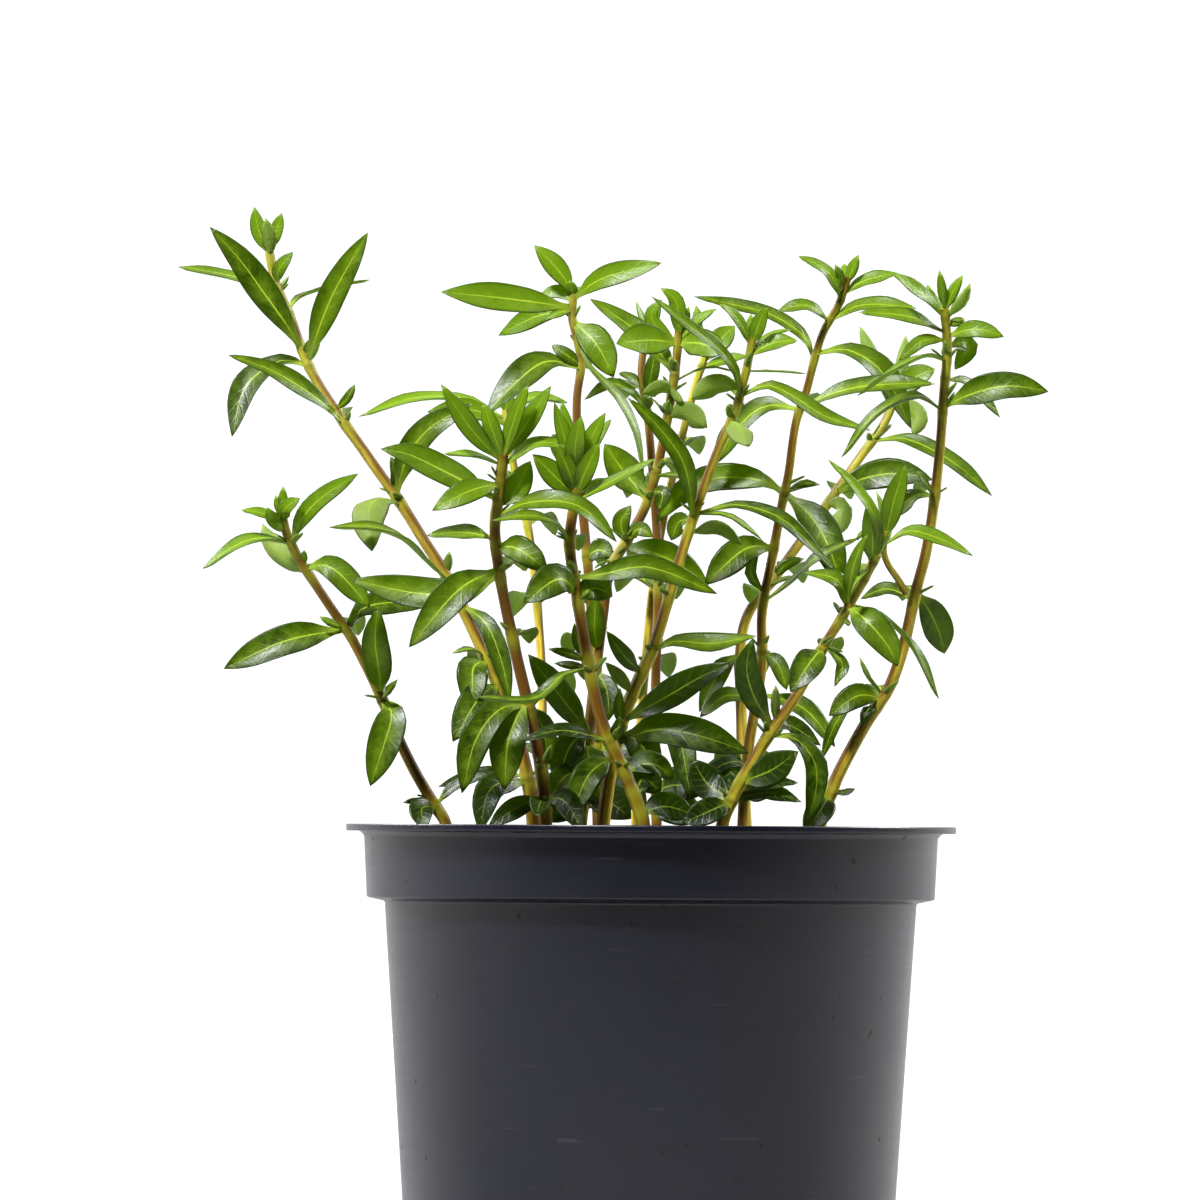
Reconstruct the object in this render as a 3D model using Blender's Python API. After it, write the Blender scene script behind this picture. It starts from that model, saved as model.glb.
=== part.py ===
"""Potted needle leaf ludwigia: a bunch of leafy stems in a plug of mineral wool, in a dark plastic pot.

Metres, +Z up. The origin is the centre of the pot's flat underside. In the tables of stems and leaves
a point is (x, y, h) in millimetres: x to the right and y to the back from the pot's axis, h above the rim.
"""
import math

import bmesh
import bpy
from mathutils import Vector

MM = 0.001
GAP = 0.0003  # left between pieces that touch on the real plant

# Pot
POT_HEIGHT = 0.050
RIM_RADIUS = 0.0305
RIM_THICKNESS = 0.0007
COLLAR_TOP_RADIUS = 0.0287
COLLAR_FOOT_RADIUS = 0.0284
COLLAR_DEPTH = 0.0073
FILLET = 0.00045  # under the rim's flange
LEDGE_RISE = 0.0004  # of the slanted ledge under the collar
STEP_RADIUS = 0.0266
BASE_RADIUS = 0.0239
FOOT_BEVEL = 0.001  # at the edge of the underside
WALL = 0.0009
POT_SIDES = 32

# Mineral wool
WOOL_BELOW_RIM = 0.003
WOOL_CLEARANCE = 0.0004
WOOL_SIDES = 20
SOCKET_CLEARANCE = 0.0005
SOCKET_SIDES = 6

# Stems and leaves
PLANTED_DEPTH = 10  # mm of a stem's foot below the rim, 7 of them in the wool
FOOT_TOP = -4  # mm, where a foot starts to lean
STEM_SIDES = 6
STEM_STEP = 0.008  # between two rings of a stem
PETIOLE = 0.0006  # width of a leaf at its foot
BLADE_THICKNESS = 0.00045
FOLD = 0.22  # rise of the blade's edges, as a share of its half width

# Outlines of a blade: share of its length, share of its width
BROAD = ((0, 0), (0.22, 0.6), (0.52, 1), (0.8, 0.68), (1, 0))
SMALL = ((0, 0), (0.3, 0.85), (0.66, 0.85), (1, 0))
BUD = ((0, 0), (0.45, 1), (1, 0))
BUD_WIDTH = 2.5  # mm, the widest blade that is drawn as a bud
FINEST_WIDTH = 1.25  # mm, narrower leaves are part of the bud or whorl that they stand in

# The way a blade's upper side looks
UP = (0, 0, 1)
TILT = (0, -0.5, 1)
HALF = (0, -1, 1)
FRONT = (0, -1, 0.35)
BACK = (0, 1, 0.5)
RIGHT = (1, -0.6, 0.5)
LEFT = (-1, -0.6, 0.5)

LEAN_HEIGHT = 50  # mm above the rim, where a stem's lean is measured

# Stems: radius at the foot and at the tip, lean to the back in mm, then the path from the rim to the tip
STEMS = {
    "stem_left_low": (0.62, 0.42, -7, [
        (-20.5, -3, 0), (-21.7, -3.3, 2.0), (-23.6, -3.7, 5.2), (-25.3, -4, 8.6), (-27.1, -4.3, 12.8),
        (-30.4, -5, 19.2), (-31.3, -5.1, 20.4), (-34.0, -5.6, 24.4), (-35.5, -5.9, 26.8),
        (-36.6, -6.1, 29.2), (-37.0, -6.2, 31.2),
    ]),
    "stem_left_tall": (0.72, 0.42, 5, [
        (-11.8, 4, 0), (-12.8, 4.4, 6.5), (-15.0, 4.9, 13.0), (-16.9, 5.1, 17.2), (-20.4, 5.5, 24.4),
        (-23.0, 5.8, 28.5), (-25.6, 6.1, 32.6), (-28.4, 6.3, 36.5), (-34.4, 6.9, 45.4),
        (-36.7, 7.4, 51.2), (-38.2, 7.8, 54.6), (-39.0, 8, 58.6),
    ]),
    "stem_front_dark": (0.68, 0.5, -5, [
        (-10.5, -12, 0), (-10.9, -12.4, 5.0), (-12.2, -13, 11.3), (-13.8, -13.6, 18.0),
        (-15.2, -14.2, 24.8), (-15.7, -14.8, 29.4), (-15.2, -15.2, 33.4), (-14.9, -15.6, 36.6),
    ]),
    "stem_back_left": (0.5, 0.38, 2, [
        (-11.4, 15, 0), (-11.0, 17, 12.0), (-11.4, 18.5, 20.0), (-12.4, 20, 29.0), (-14.0, 21, 36.0),
        (-15.0, 22, 42.0),
    ]),
    "stem_centre_tall": (0.62, 0.38, 3, [
        (-5.3, 9, 0), (-5.6, 9.6, 14.0), (-6.4, 10.2, 25.0), (-7.5, 11, 37.0), (-7.7, 11.3, 43.0),
        (-7.3, 11.5, 46.6), (-7.7, 11.7, 49.0), (-8.2, 11.8, 51.0), (-8.1, 12, 54.0),
    ]),
    "stem_front_centre": (0.7, 0.5, -3, [
        (-0.8, -16, 0), (-2.6, -16, 5.0), (-4.9, -16, 10.0), (-6.3, -16, 15.6), (-7.5, -16, 22.5),
        (-8.3, -16, 28.0), (-7.8, -16, 32.2), (-7.6, -16, 34.6),
    ]),
    "stem_back_red": (0.55, 0.38, 3, [
        (0.6, 15, 0), (0.4, 16.5, 12.0), (0.6, 17.4, 26.0), (-0.2, 18.4, 38.0), (-0.6, 18.8, 42.0),
        (-1.2, 19.2, 46.0), (-0.6, 20, 50.6),
    ]),
    "stem_middle": (0.62, 0.42, 0, [
        (-7.0, -1.5, 0), (-6.2, -0.8, 10.0), (-5.0, 0.4, 20.5), (-4.2, 0.8, 25.6), (-2.4, 1.3, 28.8),
        (-0.9, 1.6, 31.6), (0.1, 1.8, 34.6), (0.8, 2.0, 37.6), (1.6, 2.3, 42.0), (2.2, 2.7, 46.0),
        (2.5, 3, 49.5),
    ]),
    "stem_back_yellow": (0.5, 0.38, 2, [
        (-1.5, 20.5, 0), (-0.8, 21.5, 14.0), (0.6, 22.8, 28.0), (2.4, 24, 37.0), (4.4, 24.8, 45.0),
        (5.5, 25.2, 48.5),
    ]),
    "stem_centre_leaning": (0.75, 0.38, -5, [
        (-4.8, -7, 0), (-3.4, -6.6, 8.8), (-2.0, -6.2, 13.0), (0.2, -5.7, 18.0), (1.6, -5.3, 22.7),
        (3.9, -4.5, 30.4), (6.4, -3.7, 37.4), (8.2, -3.2, 41.6), (9.1, -3, 45.0), (9.8, -2.7, 48.6),
    ]),
    "stem_right_tall": (0.6, 0.36, -2, [
        (9.2, 4, 0), (9.7, 4, 7.5), (11.0, 3.6, 16.0), (11.0, 3.5, 21.5), (12.0, 3.3, 27.0),
        (12.8, 3.1, 31.6), (13.5, 3, 35.0), (14.3, 3, 40.6), (15.3, 3, 43.6), (16.1, 2.8, 46.8),
        (17.0, 2.6, 49.6), (18.5, 2.3, 52.3), (19.4, 2, 55.0),
    ]),
    "stem_back_right": (0.62, 0.42, 6, [
        (9.6, 13, 0), (9.1, 13, 10.0), (9.4, 13.3, 20.6), (12.6, 13.6, 25.4), (17.0, 14.2, 31.6),
        (21.0, 14.8, 37.4), (23.6, 15.4, 41.2), (24.9, 16, 45.5),
    ]),
    "stem_right": (0.72, 0.42, -5, [
        (16.8, -3, 0), (18.2, -3.2, 4.2), (20.4, -3.5, 8.6), (22.4, -3.8, 12.0), (23.6, -4.1, 13.8),
        (24.9, -4.4, 17.4), (25.7, -4.9, 21.0), (26.2, -5, 23.4), (27.2, -5.4, 27.4), (27.9, -5.8, 32.0),
        (28.5, -6, 38.0), (28.8, -6.2, 43.0), (29.1, -6.3, 47.3), (28.8, -6.5, 51.5),
    ]),
    "stem_front_right": (0.7, 0.42, -8, [
        (7.0, -13.5, 0), (8.0, -13.6, 2.8), (10.0, -13.8, 6.4), (11.8, -14, 9.4), (14.3, -14.5, 13.0),
        (16.8, -14.9, 17.6), (18.9, -15.4, 21.0), (20.6, -16, 24.0), (22.2, -16.8, 27.0),
    ]),
}
SIDE_SHOOT = (0.36, 0.28, -5, [
    (25.2, -5.9, 23.3), (24.4, -6.6, 24.6), (23.3, -7.6, 26.2), (22.9, -8.2, 27.6), (23.2, -8.8, 29.4),
])

# Broad leaves, each a piece of its own: height on the stem, width, face, then the midrib's points to the tip
BROAD_LEAVES = {
    "stem_left_low": [
        (19.3, 3.3, FRONT, [(-36.5, -6.5, 18.1), (-42.7, -7, 15.3)]),
        (25.4, 2.8, FRONT, [(-32.2, -6.8, 25.5), (-28.1, -8, 21.5)]),
        (12.3, 3.4, FRONT, [(-25.9, -6.8, 10.8), (-26.6, -7.8, 8.0), (-28.0, -8.2, 3.7)]),
        (27.8, 2.2, TILT, [(-38.5, -7, 28.3), (-41.0, -7.5, 27.7), (-44.8, -8, 25.2)]),
    ],
    "stem_left_tall": [
        (47.6, 3.0, FRONT, [(-36.9, 5.4, 50.0), (-39.2, 4.8, 53.2), (-41.6, 4, 56.5), (-44.8, 3, 60.0)]),
        (46.4, 2.8, FRONT, [(-33.9, 4.9, 49.2), (-32.4, 3.7, 53.0), (-28.8, 2, 59.5)]),
        (46.0, 2.8, HALF, [(-37.3, 8.4, 46.6), (-41.0, 7.8, 44.0), (-42.4, 6.8, 38.8)]),
        (40.0, 2.5, HALF, [(-33.3, 5.0, 42.2), (-38.0, 3.4, 45.2), (-42.8, 2.4, 47.0)]),
        (33.0, 2.8, FRONT, [(-24.8, 4.4, 36.6), (-22.6, 3.4, 39.6), (-18.2, 3.0, 42.2)]),
        (24.2, 2.2, TILT, [(-22.6, 3.2, 26.4), (-25.2, 0.2, 28.7), (-28.0, -1.6, 29.6), (-32.5, -2.4, 29.6)]),
    ],
    "stem_front_dark": [
        (32.2, 3.0, FRONT, [(-21.0, -14.2, 35.0), (-24.5, -14.0, 36.6), (-27.1, -14.0, 37.1)]),
        (30.6, 2.7, HALF, [(-12.0, -17.4, 31.8), (-7.4, -18.8, 31.4), (-3.6, -18.6, 27.9)]),
        (25.2, 3.4, FRONT, [(-19.0, -17.6, 23.3), (-24.1, -19.2, 17.4)]),
        (24.6, 3.4, FRONT, [(-18.4, -12, 23.0), (-23.0, -11, 22.8), (-30.1, -10.5, 24.2)]),
        (12.2, 3.6, FRONT, [(-14.2, -15.6, 8.5), (-14.6, -16.4, 3.4)]),
    ],
    "stem_centre_tall": [
        (52.3, 3.1, FRONT, [(-15.3, 9, 53.0), (-21.5, 8, 53.6)]),
        (52.9, 2.4, FRONT, [(-5.6, 9.6, 54.9), (0.8, 8.5, 56.7)]),
        (46.0, 3.5, HALF, [(-10.8, 9.4, 46.6), (-13.4, 8, 44.8), (-16.8, 7, 41.2)]),
        (48.4, 1.7, RIGHT, [(-6.2, 8.4, 45.9), (-3.6, 7.4, 43.0), (-1.8, 7.2, 39.6), (-0.9, 7.2, 35.3)]),
    ],
    "stem_front_centre": [
        (15.8, 1.7, TILT, [(-8.8, -17.8, 14.8), (-11.6, -19.2, 12.4), (-17.4, -19.5, 12.6)]),
        (24.4, 2.5, FRONT, [(-4.8, -18.2, 24.8), (-0.8, -18.6, 25.5), (6.4, -17.6, 22.9)]),
    ],
    "stem_middle": [
        (48.3, 3.4, FRONT, [(-0.6, 1.2, 48.5), (-3.8, -1.0, 48.1)]),
        (45.0, 2.8, HALF, [(1.0, 5.0, 46.8), (-1.4, 7.0, 49.3), (-6.5, 8.0, 52.9)]),
        (32.6, 3.4, FRONT, [(-2.8, 2.6, 35.2), (-4.9, 2.6, 38.2)]),
    ],
    "stem_centre_leaning": [
        (42.3, 1.6, HALF, [(8.2, -4.8, 44.8), (6.6, -5.4, 47.1), (3.0, -5.8, 49.9), (-0.4, -5.5, 52.6)]),
        (42.8, 2.0, HALF, [(11.3, -4.8, 43.8), (14.0, -5.2, 42.6), (17.0, -5.6, 40.7), (21.7, -5, 39.4)]),
        (30.6, 2.0, FRONT, [(3.6, -6.8, 33.5), (2.9, -7.4, 36.2), (0.4, -7.8, 39.6), (-2.7, -8, 42.5)]),
        (30.8, 1.8, HALF, [(8.2, -5.6, 31.9), (12.6, -6.8, 30.6), (15.2, -6.8, 28.4), (18.3, -6.5, 25.2)]),
        (10.2, 3.0, FRONT, [(1.2, -9.6, 12.6), (4.6, -11.0, 14.6), (8.0, -11.6, 16.2)]),
        (8.2, 3.6, FRONT, [(0.4, -8.8, 9.5), (4.6, -10, 8.9), (9.7, -10, 7.2)]),
    ],
    "stem_right_tall": [
        (46.6, 1.9, HALF, [(15.2, 4.6, 48.8), (12.0, 6.0, 51.1), (8.0, 6.8, 52.2), (3.9, 7.0, 53.1)]),
        (47.4, 3.0, HALF, [(19.3, 1.2, 47.6), (22.6, 1, 45.6), (25.8, 2, 39.8)]),
        (41.7, 2.9, HALF, [(11.3, 4, 42.0), (8.6, 4.5, 40.0), (6.0, 4.5, 36.0)]),
        (41.9, 2.7, HALF, [(19.4, -0.8, 43.6), (23.8, -2, 44.1), (28.2, -2.2, 44.2)]),
        (33.2, 3.5, FRONT, [(15.8, 1.0, 31.0), (17.6, -0.8, 27.8), (18.9, -1.2, 23.8)]),
    ],
    "stem_back_right": [
        (39.0, 2.2, HALF, [(25.4, 13.8, 39.2), (30.3, 12.5, 36.8), (34.3, 12, 33.4)]),
    ],
    "stem_right": [
        (41.7, 3.1, FRONT, [(31.5, -7, 43.0), (35.0, -7.5, 43.8), (39.2, -7.5, 43.3)]),
        (41.4, 2.0, TILT, [(26.3, -8.0, 42.8), (22.4, -8.8, 41.2), (18.6, -8, 36.6)]),
        (23.3, 3.2, FRONT, [(27.4, -4.0, 21.8), (28.6, -2.8, 19.4), (29.2, -1.8, 17.3)]),
    ],
    "stem_front_right": [
        (26.8, 1.4, HALF, [(21.8, -18.6, 30.5), (19.8, -18.9, 33.5), (17.1, -19, 36.2)]),
        (21.8, 3.2, FRONT, [(21.2, -18.2, 20.2), (23.2, -19.0, 17.8), (24.2, -19.3, 15.8)]),
        (22.0, 1.6, TILT, [(22.2, -14.6, 21.2), (25.6, -12.5, 18.2), (28.5, -11.5, 12.6)]),
        (17.6, 3.0, FRONT, [(15.6, -17.6, 16.2), (13.6, -19.4, 13.2)]),
    ],
}

# Other leaves and buds, fused to the stem that they grow from, in the same form
YOUNG_LEAVES = {
    "stem_left_low": [
        (12.8, 2.9, FRONT, [(-27.2, -6.4, 15.0), (-27.6, -7.2, 18.2), (-27.3, -7.4, 21.6)]),
        (30.6, 1.0, FRONT, [(-36.8, -6.6, 33.5)]),
        (30.4, 1.0, FRONT, [(-37.6, -6.4, 32.6)]),
        (29.6, 1.4, HALF, [(-38.6, -7.0, 30.6), (-41.0, -7.4, 31.1)]),
        (29.8, 1.6, FRONT, [(-36.6, -7.2, 31.2), (-35.1, -7.6, 32.3)]),
        (29.0, 1.6, FRONT, [(-38.0, -8.0, 30.4), (-38.4, -8.4, 31.4)]),
        (27.6, 2.0, FRONT, [(-35.3, -6.6, 29.6), (-33.6, -6.9, 31.8), (-29.3, -7.2, 34.8)]),
        (24.8, 2.6, BACK, [(-37.0, -3.0, 26.6), (-38.6, -0.5, 28.6), (-39.0, 0.5, 29.9)]),
        (19.6, 2.6, FRONT, [(-28.9, -4.2, 21.4), (-26.0, -3.2, 22.0), (-22.3, -2.5, 21.8)]),
        (19.4, 0.9, FRONT, [(-32.2, -6.2, 20.0), (-33.2, -6.6, 20.6)]),
        (25.6, 0.8, FRONT, [(-34.7, -6.6, 27.2)]),
        (12.6, 1.0, FRONT, [(-26.3, -6.8, 13.2), (-25.3, -7.2, 14.4)]),
        (12.4, 0.8, UP, [(-28.7, -5.6, 12.8)]),
        (1.8, 1.8, HALF, [(-19.8, -4.5, 3.5), (-16.0, -6.5, 5.1)]),
        (2.0, 1.0, HALF, [(-23.2, -4.0, 2.2), (-24.8, -4.4, 2.1)]),
        (2.6, 0.8, UP, [(-23.5, -3.4, 2.9)]),
        (1.6, 2.6, FRONT, [(-22.9, -6.0, 1.4), (-22.5, -7.6, -0.6)]),
        (19.2, 2.4, UP, [(-30.0, -1.2, 20.4), (-29.4, 3.2, 18.8)]),
    ],
    "stem_left_tall": [
        (57.4, 1.6, FRONT, [(-39.9, 7.4, 59.6), (-40.4, 7.0, 62.2)]),
        (57.6, 1.4, FRONT, [(-37.6, 7.0, 61.6)]),
        (57.0, 1.6, UP, [(-39.2, 5.6, 61.0)]),
        (57.2, 1.6, UP, [(-39.0, 10.6, 60.8)]),
        (54.4, 1.4, FRONT, [(-37.8, 6.4, 55.8), (-36.4, 5.8, 57.6)]),
        (53.6, 2.2, TILT, [(-42.3, 9.6, 55.0), (-48.2, 11.5, 56.2)]),
        (51.4, 1.6, UP, [(-36.0, 8.8, 53.0), (-33.0, 9.8, 54.1), (-28.6, 11, 55.0)]),
        (41.4, 1.0, FRONT, [(-30.9, 5.8, 42.6), (-30.0, 5.4, 44.2)]),
        (47.0, 0.8, FRONT, [(-34.6, 5.6, 48.8)]),
        (32.4, 3.5, BACK, [(-27.6, 3.6, 32.5), (-28.5, 1.2, 31.2), (-28.1, -0.4, 27.2)]),
        (32.8, 0.9, UP, [(-27.6, 6, 33.8)]),
        (33.0, 1.4, FRONT, [(-25.9, 4.0, 34.8), (-26.4, 3.4, 36.9)]),
        (24.6, 1.0, UP, [(-20.4, 4.6, 27.4)]),
        (17.0, 1.2, TILT, [(-18.2, 3.6, 17.5), (-20.1, 3.4, 17.1)]),
        (16.6, 3.2, FRONT, [(-17.9, 2.6, 15.6), (-18.0, 1.6, 13.4), (-18.4, 1.2, 11.4)]),
        (22.2, 2.1, FRONT, [(-16.6, 3.0, 20.0), (-15.0, 2.2, 16.0), (-14.2, 1.8, 12.2)]),
        (14.0, 3.4, FRONT, [(-17.4, 1.4, 12.4), (-19.9, -0.6, 8.2)]),
        (4.4, 2.9, FRONT, [(-16.0, 0.8, 3.6), (-17.2, -0.8, -0.8)]),
        (4.6, 1.8, HALF, [(-16.8, 5.0, 5.0), (-21.4, 4.2, 3.7)]),
        (41.0, 2.2, UP, [(-31.4, 10.4, 41.8), (-31.6, 14.2, 40.4)]),
        (33.0, 2.4, UP, [(-26.4, 10.4, 34.6), (-26.6, 14.6, 33.6)]),
        (16.4, 2.4, UP, [(-17.2, 9.6, 17.4), (-18.2, 14, 15.4)]),
        (47.0, 2.2, UP, [(-34.8, 10.6, 48.2), (-34.6, 14.4, 46.8)]),
    ],
    "stem_front_dark": [
        (36.0, 1.8, HALF, [(-13.6, -16.6, 40.5), (-12.4, -17, 43.5)]),
        (36.0, 2.0, FRONT, [(-12.6, -15.8, 39.6), (-10.2, -15.4, 43.4)]),
        (36.0, 1.8, FRONT, [(-16.2, -16.4, 39.5), (-16.9, -16.2, 41.7)]),
        (35.8, 2.1, FRONT, [(-17.8, -17.4, 38.6), (-21.1, -18.7, 43.4)]),
        (35.4, 1.8, HALF, [(-11.8, -17.2, 37.6), (-8.1, -18.2, 37.3)]),
        (35.6, 1.4, TILT, [(-17.5, -16.6, 36.4), (-20.8, -17, 36.6)]),
        (33.8, 2.5, FRONT, [(-18.3, -18.2, 32.8), (-21.9, -19.4, 30.9)]),
        (31.6, 2.6, FRONT, [(-13.8, -14.4, 32.8), (-12.2, -14.4, 36.0)]),
        (27.6, 2.8, FRONT, [(-13.4, -16.6, 27.2), (-10.4, -17.8, 25.0)]),
        (28.4, 2.2, HALF, [(-18.8, -13.0, 28.8), (-22.5, -11.4, 28.6)]),
        (12.0, 3.2, FRONT, [(-15.0, -15.0, 11.4), (-17.4, -16.8, 8.4), (-18.8, -17.2, 3.0)]),
        (12.0, 2.4, FRONT, [(-11.0, -12.0, 10.0), (-10.2, -11.8, 6.0)]),
        (2.8, 2.2, FRONT, [(-13.4, -13.8, 1.6), (-16.2, -15, -0.3)]),
        (1.4, 2.2, HALF, [(-11.0, -15.6, 2.2), (-11.4, -18.4, 0.7)]),
        (2.6, 2.6, FRONT, [(-8.8, -14.4, 2.4), (-6.8, -16.0, -0.6)]),
        (5.2, 0.9, UP, [(-10.0, -13.6, 8.0)]),
        (25.0, 2.4, UP, [(-13.8, -10.6, 26.2), (-12.6, -7, 25.2)]),
        (18.4, 2.2, UP, [(-12.6, -11.0, 19.2), (-12.2, -7.4, 18.0)]),
        (11.4, 2.4, UP, [(-13.4, -9.6, 12.2), (-14.6, -6.4, 10.6)]),
    ],
    "stem_back_left": [
        (3.0, 3.6, FRONT, [(-9.0, 13.4, 3.4), (-6.4, 13.0, 1.2)]),
        (41.2, 2.2, TILT, [(-18.8, 22, 43.0), (-24.0, 21, 43.1), (-29.9, 20, 41.2)]),
        (40.6, 2.2, FRONT, [(-18.5, 20.6, 42.0), (-22.9, 19, 41.7)]),
        (41.4, 2.0, TILT, [(-12.2, 21.6, 43.2), (-8.6, 21, 42.8)]),
        (41.4, 1.4, FRONT, [(-14.6, 21.6, 44.8)]),
        (41.4, 1.2, UP, [(-15.6, 23.8, 44.4)]),
        (34.4, 2.6, UP, [(-14.6, 25.2, 35.8), (-14.8, 29.4, 33.6)]),
        (30.2, 2.4, UP, [(-11.2, 24.0, 31.4), (-9.8, 28, 29.4)]),
        (22.0, 2.8, UP, [(-13.0, 23.0, 23.4), (-14.2, 27.4, 21.0)]),
        (14.0, 2.6, UP, [(-9.4, 20.8, 15.2), (-8.2, 25.2, 12.6)]),
        (7.0, 2.6, UP, [(-13.6, 19.6, 8.0), (-15.6, 23, 5.4)]),
        (6.0, 3.0, FRONT, [(-9.2, 14.2, 6.4), (-7.6, 13.4, 2.6)]),
    ],
    "stem_centre_tall": [
        (2.0, 3.8, FRONT, [(-6.8, 7.4, 3.2), (-9.6, 6.8, 5.6)]),
        (3.4, 3.8, FRONT, [(-3.4, 7.6, 3.6), (-0.4, 7.2, 1.8)]),
        (53.4, 2.2, FRONT, [(-9.4, 11.4, 55.6), (-12.1, 11, 58.5)]),
        (53.2, 1.2, FRONT, [(-8.5, 11.0, 55.0)]),
        (53.2, 1.1, FRONT, [(-7.1, 11.8, 54.3)]),
        (52.8, 1.5, FRONT, [(-9.6, 12.6, 53.8), (-11.6, 12.8, 53.4)]),
        (52.0, 2.2, FRONT, [(-11.8, 13.2, 51.3), (-15.7, 14.2, 49.4)]),
        (52.0, 1.2, HALF, [(-9.4, 11.0, 51.6), (-11.0, 10.6, 50.9)]),
        (50.8, 3.3, FRONT, [(-5.9, 10.4, 48.6), (-4.0, 10.0, 45.1)]),
        (46.2, 1.5, FRONT, [(-8.6, 10.0, 47.2), (-10.3, 9.8, 48.6)]),
        (46.0, 2.2, UP, [(-7.2, 15.4, 47.4), (-6.6, 19.2, 46.2)]),
        (38.0, 2.6, UP, [(-8.8, 14.6, 39.0), (-9.8, 18.6, 37.0)]),
        (27.2, 2.4, FRONT, [(-5.2, 8.6, 27.6), (-3.9, 8.0, 26.8)]),
        (27.0, 2.6, UP, [(-5.8, 14.2, 28.2), (-5.0, 18.4, 26.0)]),
        (18.0, 2.6, UP, [(-7.6, 13.4, 19.0), (-8.6, 17.4, 16.8)]),
        (8.0, 2.6, UP, [(-4.6, 12.6, 9.0), (-4.2, 16.2, 6.8)]),
        (7.6, 3.2, FRONT, [(-3.2, 7.6, 7.4), (-1.6, 6.6, 3.4)]),
    ],
    "stem_front_centre": [
        (1.2, 3.0, FRONT, [(1.6, -13.4, 1.8), (4.4, -12.8, 0.9)]),
        (5.4, 2.8, FRONT, [(0.2, -12.8, 6.0), (2.2, -12.2, 4.6)]),
        (32.4, 2.4, FRONT, [(-9.6, -16.8, 34.2), (-12.0, -17.4, 36.6)]),
        (32.4, 1.9, FRONT, [(-8.4, -17.0, 34.8), (-9.7, -17.4, 37.8)]),
        (32.4, 1.9, FRONT, [(-6.8, -17.2, 34.8), (-5.4, -17.6, 37.8)]),
        (33.8, 1.8, FRONT, [(-6.6, -16.4, 37.4), (-4.8, -16.8, 40.8)]),
        (33.8, 1.6, FRONT, [(-8.6, -16.2, 37.4), (-9.9, -16.2, 41.8)]),
        (34.0, 2.1, FRONT, [(-7.8, -17.2, 37.2), (-7.2, -17.8, 40.4)]),
        (33.8, 1.6, FRONT, [(-6.2, -15.2, 37.6), (-4.2, -14.8, 40.2)]),
        (34.0, 1.4, FRONT, [(-8.4, -15.0, 38.4), (-9.2, -14.6, 42.1)]),
        (31.8, 1.4, HALF, [(-4.5, -17.4, 33.7), (0.3, -17.2, 36.3)]),
        (32.2, 1.2, HALF, [(-6.0, -14.8, 33.6), (-3.8, -14.4, 34.3)]),
        (28.0, 1.6, HALF, [(-9.4, -18.4, 29.6), (-12.4, -21.0, 30.4), (-16.1, -21.4, 29.9)]),
        (23.2, 3.4, FRONT, [(-9.4, -19.0, 24.2), (-12.8, -21.0, 21.8)]),
        (22.6, 2.8, FRONT, [(-5.8, -16.4, 23.4), (-4.0, -16.2, 22.6)]),
        (8.2, 2.0, HALF, [(-9.3, -18.8, 9.2), (-12.9, -19.8, 8.2)]),
        (16.3, 1.0, FRONT, [(-8.4, -17.2, 16.9), (-10.4, -17.2, 17.4)]),
        (15.6, 0.9, FRONT, [(-8.4, -15.4, 15.8), (-9.8, -15.2, 16.0)]),
        (16.2, 1.2, FRONT, [(-7.4, -15.0, 18.0), (-7.8, -14.8, 20.0)]),
        (8.4, 1.4, FRONT, [(-3.4, -16.8, 9.4), (-3.2, -17.0, 10.8)]),
        (3.0, 3.0, FRONT, [(-0.8, -14.4, 4.6), (0.9, -14.0, 3.2)]),
        (22.0, 2.2, UP, [(-7.2, -13, 23.2), (-6.6, -9.4, 22.0)]),
        (27.8, 2.2, UP, [(-7.8, -13, 28.6), (-7.4, -9.6, 27.2)]),
        (14.6, 2.4, UP, [(-6.4, -12.6, 15.6), (-6.8, -9.4, 14.4)]),
    ],
    "stem_back_red": [
        (3.4, 3.8, FRONT, [(2.8, 13.2, 4.0), (5.6, 12.6, 3.4)]),
        (1.6, 3.6, FRONT, [(2.6, 12.8, 1.6), (5.6, 12.2, 0.6)]),
        (49.6, 1.4, FRONT, [(0.6, 19.6, 53.4)]),
        (49.6, 1.2, UP, [(-1.8, 20, 53.2)]),
        (43.2, 1.6, FRONT, [(-0.3, 18.2, 45.2), (0.3, 18.0, 48.4)]),
        (42.0, 1.6, HALF, [(-2.2, 18.0, 43.8), (-4.2, 17.2, 44.6), (-7.0, 16.8, 43.0)]),
        (44.4, 1.4, HALF, [(-2.2, 18.4, 45.2), (-3.5, 18.0, 45.8)]),
        (44.0, 2.6, UP, [(-2.2, 22.8, 45.0), (-2.8, 27, 43.4)]),
        (34.0, 2.6, UP, [(-1.6, 21.4, 35.2), (-2.6, 25, 33.2)]),
        (24.0, 2.6, UP, [(-2.0, 19.8, 25.2), (-3.6, 22.4, 23.6)]),
        (10.6, 2.8, FRONT, [(2.6, 11.4, 9.4), (4.0, 9, 2.6)]),
        (6.0, 3.0, FRONT, [(-1.2, 14.0, 5.8), (-3.4, 13.4, 2.0)]),
    ],
    "stem_middle": [
        (2.6, 3.6, FRONT, [(-4.8, -2.6, 2.6), (-2.0, -3.4, 0.6)]),
        (3.8, 3.8, FRONT, [(-4.4, 0.6, 4.4), (-1.4, 1.0, 5.8)]),
        (1.4, 3.2, FRONT, [(-8.4, -2.8, 1.9), (-10.0, -3.2, 0.2)]),
        (48.6, 1.7, FRONT, [(2.4, 2.4, 51.2), (2.0, 2.2, 52.8), (0.6, 2.0, 53.8)]),
        (48.4, 1.5, FRONT, [(0.2, 2.8, 50.0), (-0.3, 2.8, 51.2), (0.8, 2.8, 52.7)]),
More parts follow.
